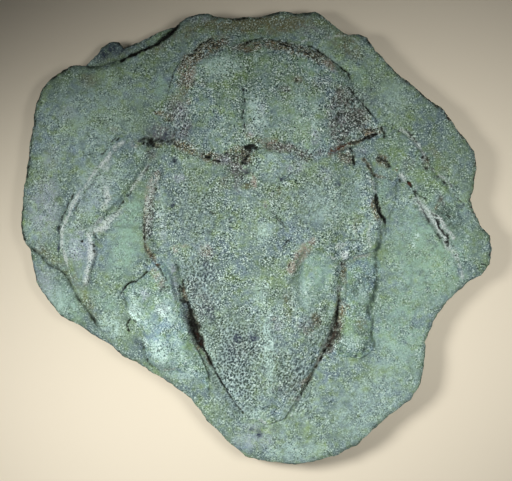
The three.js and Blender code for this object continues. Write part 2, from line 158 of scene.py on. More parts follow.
RIGHT_FIN_UPPER_OUTLINE = [
    (55.2, 33), (60.5, 27.5), (66, 22.5), (70.2, 18.6), (75, 22.4), (79.6, 27), (77, 32),
    (73, 38), (69, 43), (64, 47), (59.5, 48), (56.5, 42.5),
]
RIGHT_FIN_LOWER_OUTLINE = [
    (75.6, 21.5), (70.9, 17.8), (73, 11), (78, 3), (84, -5.5), (88.5, -14), (90.8, -19),
    (92, -11), (91.6, -1.5), (91.2, 7.5), (88.8, 15), (85, 21), (80.2, 26.2),
]
BONE_OUTLINES = [
    HEAD_OUTLINE, TRUNK_OUTLINE, LEFT_SIDE_OUTLINE, RIGHT_SIDE_OUTLINE, LEFT_FIN_UPPER_OUTLINE,
    LEFT_FIN_LOWER_OUTLINE, RIGHT_FIN_UPPER_OUTLINE, RIGHT_FIN_LOWER_OUTLINE,
]

# The raised back of the trunk, inside its lower flanges, and the smooth hollow in it.
TRUNK_BACK = [
    (-34.5, 48), (-39.5, 24), (-40.5, 9.5), (-39.5, -1.5), (-35, -11), (-31, -21), (-26.5, -35.5),
    (-21, -50.5), (-15, -63), (-8, -72.5), (-3, -78), (4.5, -80.5), (11.5, -77.5), (17, -69),
    (23, -59), (28.5, -48.5), (33, -38.5), (35, -27.5), (36.5, -13), (39, -4), (41, 5),
    (43, 16.5), (41, 30), (38, 48),
]
HOLLOW = [
    (19, -7), (17, -13.5), (16, -23.5), (17.5, -30.5), (21, -33.5), (26.5, -32), (31, -27.5),
    (33.5, -21), (34, -12), (31, -5.5), (24.5, -4.5),
]


def swelling(at, radii, rise):
    """A rounded swelling: its full rise at the centre, nothing at its radii."""
    return lambda x, y: rise * bell(((x - at[0]) / radii[0]) ** 2 + ((y - at[1]) / radii[1]) ** 2)


def ridge(width, rise, path):
    """A rounded ridge along a path, or a furrow where its rise is negative."""
    return lambda x, y: rise * bell((distance_to_path(x, y, path) / width) ** 2)


def bell(reach):
    """1 at 0, falling smoothly to 0 at 1."""
    return np.where(reach < 1, (1 - reach) ** 2, 0)


# Where the waves of the split face start, in radians.
WAVE_START = 0.6


def wave(rise, lengths):
    """A gentle wave of the split face."""
    return lambda x, y: rise * np.sin(x / lengths[0] + WAVE_START) * np.cos(y / lengths[1])


# The forms of the split face, of the stone beside the bones, and of each bone, in millimetres.
STONE_FACE = [
    wave(0.45, (19, 27)),
    wave(0.3, (15, 40)),
    swelling((-70, 50), (34, 28), 0.7),
    swelling((68, -2), (30, 34), -0.8),
    swelling((40, -78), (30, 24), 0.6),
    swelling((-70, 8), (32, 46), 0.8),
    swelling((74, 28), (28, 32), 0.9),
]
STONE_DETAILS = [
    ridge(2.4, 2.6, NECK_JOINT),
    swelling((-46.5, 41), (3, 3), -1.6),
    ridge(3.6, -2, [
        (-34.2, -13.5), (-32.8, -21), (-30, -32), (-26.6, -42.5), (-22.5, -54), (-17.5, -62.5),
        (-11, -72.5), (-5.5, -79.5)]),
    ridge(3.4, -1.8, [
        (38.4, -12), (38, -22), (37, -33), (34.6, -42.5), (31.3, -50.5), (27.5, -57.5),
        (23.5, -65), (18.5, -73.5)]),
    ridge(3, -1, [(62.5, 20.5), (60, 13), (57.5, 5), (56.5, -8)]),
]
HEAD_FORMS = [
    swelling((4, 60), (50, 36), 2.6),
    swelling((0.5, 53.5), (6.5, 12), 1),
    swelling((-41, 51.5), (10, 9), -1.4),
    swelling((-26, 66), (11, 14), 0.7),
    swelling((27, 62), (14, 12), 0.6),
    ridge(2.6, -0.8, [(-6, 70), (-5.5, 61), (-4.5, 51.5)]),
    ridge(3, 0.9, [(16, 81), (24, 79.5), (31, 75), (36.5, 70)]),
]
TRUNK_FORMS = [
    swelling((1, -4), (44, 44), 2.6),
    swelling((-5, -50), (16, 30), 0.8),
    swelling((14, -52), (14, 26), 0.8),
    swelling((-2, 28), (9, 9), -0.8),
    ridge(3, 1.5, [
        (-42.5, 28.5), (-46, 23), (-47, 16.5), (-48, 6.5), (-47.5, -1.5), (-44.5, -6)]),
    ridge(2.8, 1.2, [(47.5, 33), (50, 25), (51, 15), (53.5, 6.5), (52, -4)]),
    ridge(5.5, 1.3, [
        (4.5, -20), (5, -36.5), (5, -47.5), (6, -58.5), (5, -69.5), (3, -78)]),
    ridge(2.6, 1.2, [(25.5, -1.5), (20.5, -3.5), (17.5, -7.5), (15.5, -12), (14.5, -18)]),
    ridge(2, -0.5, [(0, 17.5), (6, 13), (10.5, 9), (15.5, 0.5), (8, -9)]),
    ridge(2, -0.5, [(-3, 17.5), (-10, 13), (-17.5, 7.5), (-18, -1.5)]),
    ridge(2, -0.5, [(19, -1), (32.5, -1.5), (44.5, -0.5)]),
]
LEFT_SIDE_FORMS = [
    swelling((-54, -30), (6, 8), 1.2),
    swelling((-48, -43), (5, 7), 1),
    swelling((-43, -30), (7, 9), 1.4),
    swelling((-41.5, -52), (9, 9), 1.8),
    swelling((-36, -22), (4, 12), 0.9),
]
RIGHT_SIDE_FORMS = [
    swelling((43.5, -45), (9, 9), 1.3),
    swelling((46.5, -16), (7, 9), 0.7),
]
LEFT_FIN_UPPER_FORMS = [
    ridge(2.6, 1, [(-58, 43.5), (-63, 38), (-68, 31), (-73.5, 23.5), (-78.5, 15.5), (-83, 6.5)]),
    ridge(2.8, 0.9, [(-49.5, 33), (-55, 23.5), (-60, 17), (-66.5, 10), (-72, 5)]),
]
LEFT_FIN_LOWER_FORMS = [
    ridge(2.6, 0.9, [(-84.5, 1), (-84, -7), (-81, -13)]),
    ridge(3, 1, [(-71.5, 2), (-71, -6), (-73, -13), (-75, -20)]),
]
RIGHT_FIN_UPPER_FORMS = [
    ridge(3, 1.2, [(60, 46), (66, 43.5), (71, 38.5), (75, 31.5), (78, 27.5)]),
    ridge(3, 1, [(57, 33.5), (62, 28.5), (68.5, 21.5)]),
]
RIGHT_FIN_LOWER_FORMS = [
    ridge(2.8, 0.9, [(73, 16), (77, 8), (83, -1), (87.5, -9), (90, -16)]),
    ridge(2.6, 0.9, [(82, 23), (87, 16), (90, 7)]),
]


# Where a streak has faded out, in widths, and between which shares of its size an oval fades.
STREAK_REACH = 0.9
OVAL_FADE = (0.35, 1.25)


def streak(width, amount, path):
    """A mark drawn along a path, which fades away from its middle. Stains and painted shade are
    both drawn with it.
    """
    reach = STREAK_REACH * width
    (left, bottom), (right, top) = np.min(path, axis=0) - reach, np.max(path, axis=0) + reach

    def strength(x, y):
        result = np.zeros(x.shape)
        near = (x > left) & (x < right) & (y > bottom) & (y < top)
        result[near] = amount * (1 - ease(0, reach, distance_to_path(x[near], y[near], path)))
        return result

    return strength


def oval(middle_x, middle_y, length, breadth, turn, amount):
    """An oval mark, turned anticlockwise by an angle in degrees. Stains and painted shade are both
    drawn with it.
    """
    cosine, sine = math.cos(math.radians(turn)), math.sin(math.radians(turn))

    def strength(x, y):
        along = ((x - middle_x) * cosine + (y - middle_y) * sine) / length
        across = ((y - middle_y) * cosine - (x - middle_x) * sine) / breadth
        return amount * (1 - ease(*OVAL_FADE, np.hypot(along, across)))

    return strength


def streaks_of(rows):
    return [streak(width, amount, list(zip(spots[::2], spots[1::2])))
            for width, amount, *spots in rows]


# What the eye sees drawn on the stone and bones, by tone.
# Each streak is a row of its width, its amount, and the x and y of each point along it.
STREAKS = {
    "dark": [
        # Cracks, sutures, bone edges and holes are darkened: partly dark filling, partly painted
        # shade in them.
        # The neck joint, and the holes at its ends.
        (0.8, 0.6, -35.5, 41.5, -31.5, 39.3, -28, 37.3),
        (1.2, 0.75, -22, 35.3, -20, 34.3, -16, 33.3), (0.8, 0.6, -11, 33.5, -9.5, 32.5),
        (1.2, 0.5, -6, 36, -4, 36.5, -1.5, 36),
        (0.8, 0.6, 5, 40, 8, 40.3, 13, 39, 18, 38, 22, 36.5, 26, 36),
        (0.6, 0.4, 30, 34.5, 25, 33, 21, 32), (0.8, 0.75, 36, 39, 40, 40.8, 45, 42, 48, 42.8),
        (1.4, 1, 48, 42.7, 50.5, 44, 52.5, 44.8), (0.8, 0.7, -45, 40.5, -43, 40, -41, 41.5),
        (0.9, 0.8, -51.5, 43, -47, 43.5, -42.5, 42.5, -37, 41.8), (0.8, 0.5, -48, 38.5, -47, 36),
        # The head's edge, from its left corner over the front to its right corner.
        (0.7, 0.8, -37.5, 66, -37, 70, -35, 75, -31.5, 78, -28, 80.5),
        (1, 0.85, -28, 80.3, -26, 82.5, -23, 85, -19.5, 87), (0.8, 0.5, -19, 86.5, -15.5, 86),
        (0.7, 0.4, -25, 79.5, -20, 78.5, -16, 79.5),
        (1.3, 0.9, -6, 84, -3.5, 85.5, 0, 86.8, 3, 87.5), (0.8, 0.8, -5, 83.5, -1, 84.5, 2, 85),
        (0.8, 0.75, 3, 87.3, 7, 87, 11, 86.3, 14, 85),
        (0.8, 0.75, 10, 85.5, 13.5, 84, 16.5, 82.8, 20, 81, 23, 79.5),
        (0.8, 0.75, 19.5, 83, 21, 83.8, 24.5, 83.6, 28, 81.5, 31, 79.3),
        (0.6, 0.65, 31, 79.3, 34, 77, 37, 74.5), (1, 0.95, 37, 74.5, 39.5, 72.3, 41.3, 69.8),
        (0.8, 0.6, 26, 80.5, 28.5, 78), (0.7, 0.7, 38.5, 67, 42, 63.5, 47, 58.5),
        (0.8, 0.85, 47, 58.5, 50, 55, 52.5, 51.5),
        (0.7, 0.9, 47.5, 47.3, 49.5, 46.3, 51, 46.6, 52, 47.8, 54.5, 47.8),
        (1.2, 1, 54.5, 47.8, 56, 46, 56.8, 44), (0.5, 0.6, 46.8, 46, 47, 44),
        (0.6, 0.4, -7, 74, -4.5, 74.5, -1.5, 74.5),
        (0.7, 0.65, -5.8, 65, -5.3, 57, -6.3, 52, -4.3, 46.5),
        # The trunk's edges and shoulders.
        (1.3, 0.85, 41.5, 39, 42.3, 36, 43.2, 32.5, 42.5, 31),
        (0.6, 0.6, 46.3, 34.5, 48, 31.5, 50.5, 29), (1, 0.8, 50.2, 29.3, 51.5, 27),
        (0.6, 0.55, 52, 27.5, 56, 26, 60, 24.3), (1.3, 0.9, 52.8, 18.6, 53.2, 17.3),
        (1.4, 0.6, 52.6, 17.5, 52.8, 13, 54, 10.5), (0.8, 0.9, 54.3, 14, 54.8, 10.5, 56.8, 7),
        (1.6, 1, 55.8, 8.5, 57, 6.5), (0.9, 0.5, -42.5, 27.8, -43.5, 26),
        (0.7, 0.45, -44, 21, -46, 18), (0.7, 0.6, -48.3, 10, -48.8, 5),
        (0.8, 0.9, -48.8, 5, -49.2, 1, -49, -2.5), (0.9, 0.6, -49, -3, -48, -6.5, -46, -8.5),
        (1.1, 0.75, -46, -9, -44, -11.5, -42, -14.5),
        (0.7, 0.7, -42, -14.5, -40, -18, -38.5, -22.5, -37.8, -25),
        (0.8, 0.8, -48, -10, -48.7, -12),
        # The two great cracks beside the tail.
        (0.5, 0.4, -34, -10, -33.8, -16), (0.8, 0.9, -32.5, -19, -32.3, -23),
        (1.2, 0.9, -33.5, -27.5, -31.5, -28.2), (0.7, 0.8, -33.8, -23, -33.6, -27),
        (0.9, 0.95, -30.2, -28.5, -29.7, -31.5, -28.5, -34),
        (2, 1, -29.2, -32.5, -28.2, -37, -26.8, -41),
        (3.1, 1, -28.2, -36.5, -26.6, -42, -24.6, -47), (1, 1, -25.2, -39, -24.8, -41),
        (0.8, 0.9, -27.6, -41, -26.5, -45.5, -24.8, -48.5),
        (0.8, 0.9, -24.5, -41, -23.8, -45, -24, -48),
        (1.3, 1, -24.5, -48.5, -22, -51.5, -19.5, -56.5, -18, -58.5),
        (0.7, 0.95, -18, -58.5, -15.5, -63, -13, -67, -11.5, -70.5),
        (0.7, 0.6, -11.5, -70.5, -8, -74.5, -5, -78), (0.6, 0.45, -24, -54, -22, -58, -20.5, -61),
        (0.7, 0.8, -20.5, -66, -20.2, -70.5), (0.8, 0.9, 36.6, -23.5, 36.7, -27),
        (1.4, 0.9, 36.3, -29, 35.9, -33, 35.3, -36.5), (2, 0.9, 35.6, -34, 35, -39.5, 34.2, -43.5),
        (1.2, 0.7, 33.3, -41, 32.3, -45, 31.8, -47.5), (1.6, 0.8, 34.8, -43, 33, -48.5, 30.5, -50),
        (0.8, 0.8, 30.5, -50, 29, -53, 27, -56.5, 25.5, -58.5),
        (0.8, 0.9, 25, -60.5, 23.5, -62.5, 21.5, -66, 19.8, -69),
        # The trunk's sutures and the edge of the hollow.
        (0.6, 0.5, 4, 14, 7.5, 10, 10.5, 6), (0.6, 0.5, 15.5, 1, 11.5, -4, 8, -9),
        (0.6, 0.45, -9, 9, -12.5, 7.5), (0.7, 0.5, 41.5, -1.5, 45, -0.5),
        (0.7, 0.7, 14.2, -13, 15.8, -9.5), (0.6, 0.6, 18.5, -8.5, 21, -6),
        (0.6, 0.45, -17.5, -4, -14.5, -3),
        # The side walls.
        (0.5, 0.6, -47.5, -15.5, -51, -18, -53, -19.2),
        (0.7, 0.75, -53, -19.2, -55.5, -20.5, -57.5, -22), (0.5, 0.8, -57.5, -22, -59.5, -24.3),
        (0.5, 0.9, -55.8, -36.3, -57.2, -38.5, -56.5, -41.5),
        (0.4, 0.5, -56.8, -33, -54, -36.5, -53, -37.5),
        (0.6, 0.6, -49.5, -47.5, -49, -52, -47, -56, -44, -58.3, -40.5, -59),
        (0.6, 0.55, 39, -52.5, 43, -53, 46.5, -52),
        # The left fin.
        (0.9, 1, -61, 45.5, -63.5, 42, -65.5, 40), (0.8, 0.95, -60, 44.5, -62.5, 41.5),
        (1, 0.65, -66, 38.5, -68, 36), (1.6, 0.35, -70, 26.5, -72, 23, -74, 21),
        (1.3, 0.55, -77, 16.5, -79, 12.5),
        (1, 0.75, -80.5, 18.5, -82.5, 14.5, -84.5, 10, -86, 5, -86.8, 1),
        (1.4, 1, -47.3, 31.3, -49, 28.5, -50, 27), (0.7, 0.65, -53, 24.5, -54.5, 23),
        (0.9, 0.9, -55, 20.5, -58, 16.5, -60, 13.5, -62, 10.5, -64.5, 10.3),
        (1.4, 0.95, -71.5, -3.5, -71, -6.5), (0.9, 0.6, -71.5, 2, -69.5, -0.5, -68, -2.5),
        (0.9, 0.75, -75, -1, -76.5, -2.5),
        # The right fin.
        (1.8, 0.85, 52.8, 36.5, 54, 34), (1.6, 0.7, 55.5, 35, 57.5, 33, 59, 31),
        (1, 1, 66, 47, 68.5, 44.5, 70.5, 42), (0.7, 0.75, 60, 49, 63, 46.5),
        (1.3, 0.9, 79.8, 26.2, 82, 24.3, 84, 22.6), (0.7, 0.6, 84.5, 22.4, 88, 18.5, 91.5, 14),
        (1.6, 0.9, 72.5, 35, 73, 32, 75.5, 29.5), (1.3, 0.75, 75, 35, 77, 31, 78, 28.5),
        (0.9, 0.55, 84, 24.5, 86.5, 21.5, 88, 18.5), (0.8, 0.85, 62.5, 27, 62.8, 24),
        (1, 0.85, 65.8, 25, 68, 21.8, 69, 21), (1, 0.8, 69.5, 20.5, 71, 19, 73.5, 17.5, 74.5, 16),
        (1.4, 1, 79.3, 7.5, 81, 4), (1.3, 0.9, 82, 3, 84, 0.5, 84.5, -1.5),
        (1, 0.85, 83.5, -2, 84.8, -3.5), (0.7, 0.75, 85.5, -2, 87, -4.5),
        (0.9, 0.85, 80, 1.5, 81.5, -1), (1, 0.95, 81, 11.5, 83, 10, 85.5, 8.8),
        (0.8, 0.85, 77.5, 10.5, 79, 9.3),
        # The slab's rim, painted shade on its rounded arris.
        (0.9, 0.5, -61, -50.5, -53.5, -55, -47, -59),
    ],
    "gape": [
        # Open cracks and holes, painted black as the shade inside them.
        (1.3, 0.85, -2.5, 37.8, -4.2, 35.2, -6, 32.8), (1.2, 0.9, 47.5, 42.7, 50.5, 44, 52.8, 44.9),
        (1.5, 0.85, 52.7, 17.5, 53.2, 14, 54.6, 10.5), (1.1, 0.9, 54.6, 10.5, 56.6, 7),
        (0.6, 0.8, -33, -20, -32.8, -24, -31.5, -28),
        (1.2, 1, -30.3, -28.5, -29.4, -32.5, -28.4, -36.5),
        (2.8, 1, -28.4, -36.5, -27.2, -41, -25.4, -46),
        (1.5, 0.95, -25.3, -46.5, -22, -51.5, -19.5, -56.5),
        (0.7, 0.9, -19.5, -56.5, -15.5, -63, -12, -69.5),
        (0.9, 0.85, 36.4, -28, 35.9, -33, 35.3, -38.5), (0.8, 0.8, 33.4, -45, 32, -48, 29.5, -50.5),
        (0.5, 0.6, 30.5, -50, 27, -56.5, 23.5, -62.5, 20.5, -68),
        (0.5, 0.4, 6, 22.6, 10, 24.8, 16, 27.6), (0.5, 0.35, -5.8, 64, -5.3, 57, -6.3, 52),
        (0.5, 0.4, 4, 14.5, 8.5, 9.5, 13, 4), (0.5, 0.45, 15.5, 0.6, 11.5, -5, 7.3, -10.7),
        (0.5, 0.35, -3, 17, -9, 12.5, -17, 7.5), (0.9, 0.7, 41.5, 39, 42.4, 35.5, 43, 32),
        (0.8, 0.6, -22, 35.3, -19, 34, -16, 33.3), (0.6, 0.8, 37, 74.7, 39.5, 72.3, 41.3, 69.8),
        (0.5, 0.7, -28, 80.5, -25.5, 83, -22, 86), (0.5, 0.7, -6, 84, -3.5, 85.5, 0, 86.8, 3, 87.5),
        (0.5, 0.6, 10, 85.5, 16.5, 82.8, 22, 80),
        (0.5, 0.7, 20, 83.2, 24.5, 83.6, 31, 79.3, 37, 74.5), (0.5, 0.6, 48, 57.5, 52.5, 51.5),
        (0.7, 0.8, 78.5, 8, 81, 4, 83.5, 0, 85, -3), (0.7, 0.7, 69.7, 19.5, 72.5, 13.5, 76.5, 6.5),
        (1.4, 0.35, 53.5, 36.5, 55, 34, 57, 31.5), (1.2, 0.8, 66.5, 24, 68, 22),
        (0.7, 0.8, -47.5, -15.5, -51, -18, -54, -19.6, -57.5, -22, -59.8, -25),
        (0.6, 0.8, -55.8, -36.3, -57.2, -38.5, -56.5, -41.5), (0.5, 0.6, -49, 3, -49, -2.5),
    ],
    "furrow_shade": [
        # Painted shade along furrows, which the surface also cuts into a little.
        (1.9, 0.75, 55.7, 5, 54.5, -1.3, 53.4, -6, 52.7, -10, 53.3, -19, 52.2, -24, 50.8, -28.6,
         49.4, -34), (0.8, 0.6, 57.3, 5, 57, 1),
        (1, 0.6, 61.5, 23.5, 61.7, 17, 60, 11.5, 58.5, 6.5),
        (0.8, 0.7, -58.5, -24, -57.8, -28, -56.8, -32),
        (1.1, 0.6, 72, 11, 76, 6.5, 80, 1, 83, -4.5),
        (1.1, 0.8, 51.2, -36, 50.6, -42, 51.8, -47, 50.5, -51.2, 46.5, -53.6),
        (1.2, 0.4, -62, 4, -55, 5, -50, 4), (1.2, 0.45, -20.8, -61, -20.5, -70),
        (1.4, 0.4, -49.5, -47.5, -49, -52, -47, -56, -44, -58.3, -40.5, -59),
        (2, 0.3, -38, 23, -37.3, 16, -37, 10), (1.4, 0.7, -35, -10, -34, -18),
    ],
    "dusky": [
        (2.4, 0.5, 47, -49.5, 48.5, -47), (4, 0.5, 12, -25, 13.5, -32),
        (3.4, 0.6, -24.5, -48, -19, -57),
    ],
    "ink_and_shadow": [
        # The first streak is painted shadow beside the tail's left crack; the others are dark
        # blue-grey marks.
        (2.6, 0.6, -32.5, -29, -31.5, -34, -29.5, -40, -27, -46),
        (1.6, 0.8, 79, 26.8, 81, 25, 83.5, 22.8),
        (1.4, 0.9, -83.6, 12, -85.7, 7, -86.9, 2, -87, -6), (2.6, 0.7, -51, 43, -46, 43, -38, 42),
    ],
    "olive": [
        (5, 0.5, -96, -5, -88, -11, -82, -17, -77, -26, -72, -34),
    ],
    "brown": [
        (1.8, 0.9, 36, 39.3, 41, 41, 46, 42.5), (1.2, 0.8, 46.3, 34.5, 51, 28, 56, 26),
        (2.2, 0.75, -48, 13, -48.8, 5, -49, -2, -47, -8),
        (3.4, 0.35, -43.5, 27, -46, 20, -47.6, 12, -48, 4), (1.8, 0.8, -46, -8.5, -43, -12.5),
        (2.2, 0.9, -32.3, -22.5, -31.5, -27), (4, 0.95, -28.7, -34, -26.7, -41, -24.6, -48),
        (1.8, 0.8, -23, -50.5, -20, -56), (1.8, 0.6, 36.6, -22, 36, -33),
        (4, 0.9, 37, -31, 36.3, -38, 34.5, -44, 31.5, -49), (1.8, 0.8, 29.5, -51.5, 26, -57.5),
        (2, 0.85, 24.3, -61, 20.5, -67), (1.4, 0.4, 79, 13, 81, 17),
    ],
    "plum": [
        (4.5, 0.7, 35.5, -38, 34, -43, 31.5, -49), (2, 0.4, 81.5, 3, 84.5, -2),
    ],
    "lilac": [
        (3, 0.6, -36.8, -12, -36.3, -20, -35, -27), (1.6, 0.6, 82.5, 25.5, 86, 21.5),
    ],
    "pink": [
        (3.2, 0.95, -44, 27.5, -46.5, 22, -47.8, 16), (1.4, 0.5, -48, 13, -48.5, 5, -48.5, 0),
        (3, 0.95, 24.5, -2, 21.5, -4.5), (4.2, 0.95, 21.5, -5, 18, -9, 15, -14),
        (1, 0.5, 43.5, -9.5, 46.5, -8, 50, -7.5), (1.6, 0.6, 28.5, -52, 26.5, -55.5),
        (1, 0.5, -40, -58.5, -36, -57.8),
    ],
    "rust": [
        (2.6, 0.95, 32.2, 36.2, 34.8, 38.2), (1.3, 0.8, 34.5, 38.2, 37, 39.4),
        (0.8, 0.6, 36.5, 39.2, 41, 41), (1.2, 0.25, -26.3, -42, -25.3, -45.5, -24.7, -47.5),
        (1.2, 0.3, 35.3, -38, 33.8, -44, 31.5, -48.5),
        (0.9, 0.8, -46.5, -8.5, -45, -10.5, -43.5, -12), (1.6, 0.6, 24, -2.4, 22, -3.6),
        (0.7, 0.4, -32, -23.5, -31.5, -26),
    ],
    "cream": [
        # The left fin, and the trunk's flange beside it.
        (2.2, 0.8, -58.5, 41.5, -61.5, 40, -65, 35, -68, 31.5),
        (1.4, 1, -66, 34, -70.5, 29.5, -74.5, 23.5, -78, 18.5, -81.5, 12.5, -84, 6),
        (1.4, 0.9, -84, 6, -85.5, 1, -85.3, -4, -84.5, -8, -82.5, -13),
        (2.2, 0.5, -64.5, 35, -66, 30), (1.6, 0.9, -47.5, 31.5, -53, 23.5, -55, 21.5),
        (3, 1, -65.5, 20.5, -65, 17, -66.5, 13),
        (2.6, 0.7, -44.3, 26, -46.6, 20, -47.6, 14, -48, 4), (2.2, 1, -60, 11.3, -64, 8),
        (2.6, 0.9, -64, 8, -68, 4, -73, 0.5), (1.2, 0.6, -68, 8.5, -71, 5.5, -73.5, 2.5),
        (1.8, 0.8, -73, 0, -72, -3, -73, -7), (2.8, 0.95, -71.5, -6, -73, -12, -75, -19.5),
        # The trunk.
        (0.9, 0.7, 31.5, -8.5, 34.5, -9.5), (1, 0.5, 51, 22.5, 52.5, 20),
        (1.6, 0.5, 49, 26, 51.5, 23), (1, 0.4, -43, 25, -42.5, 15, -43, 8),
        (1.4, 0.45, 50, 6, 49.5, 1, 50.5, -4), (0.9, 0.7, 36, -23.2, 38.5, -23),
        (1.1, 0.8, 2, -80, 4, -81.5), (1, 0.8, 19.5, -70.5, 17.5, -72.5),
        (0.9, 0.5, 15, -79, 17.5, -75),
        # The right fin.
        (1.7, 0.95, 63.5, 47, 67, 45, 70.3, 41.5, 72.4, 38, 73.3, 34),
        (1.1, 0.7, 75.5, 31.5, 79.5, 28, 84.5, 23.5), (2, 0.9, 63.5, 27.5, 65, 25),
        (0.9, 0.7, 70, 22.5, 70, 20.5), (3.4, 1, 70.5, 16.5, 74, 12, 77, 9, 80, 5),
        (1.4, 1, 76, 11.5, 80, 8.5, 84, 3, 86.5, -0.5),
        (2.4, 1, 80, 4.5, 83, 0, 84.8, -4.5, 87.5, -7.5),
        (1.5, 0.9, 88, -8.5, 89.3, -13, 90.8, -18),
        # The front of the stone.
        (0.8, 0.5, 20, 86.5, 27, 87, 33, 88.5, 40, 89, 45, 86.3),
    ],
    "pale": [
        (1.6, 0.6, -23, -42, -21.5, -49, -17, -57, -12, -66, -7, -73),
    ],
}

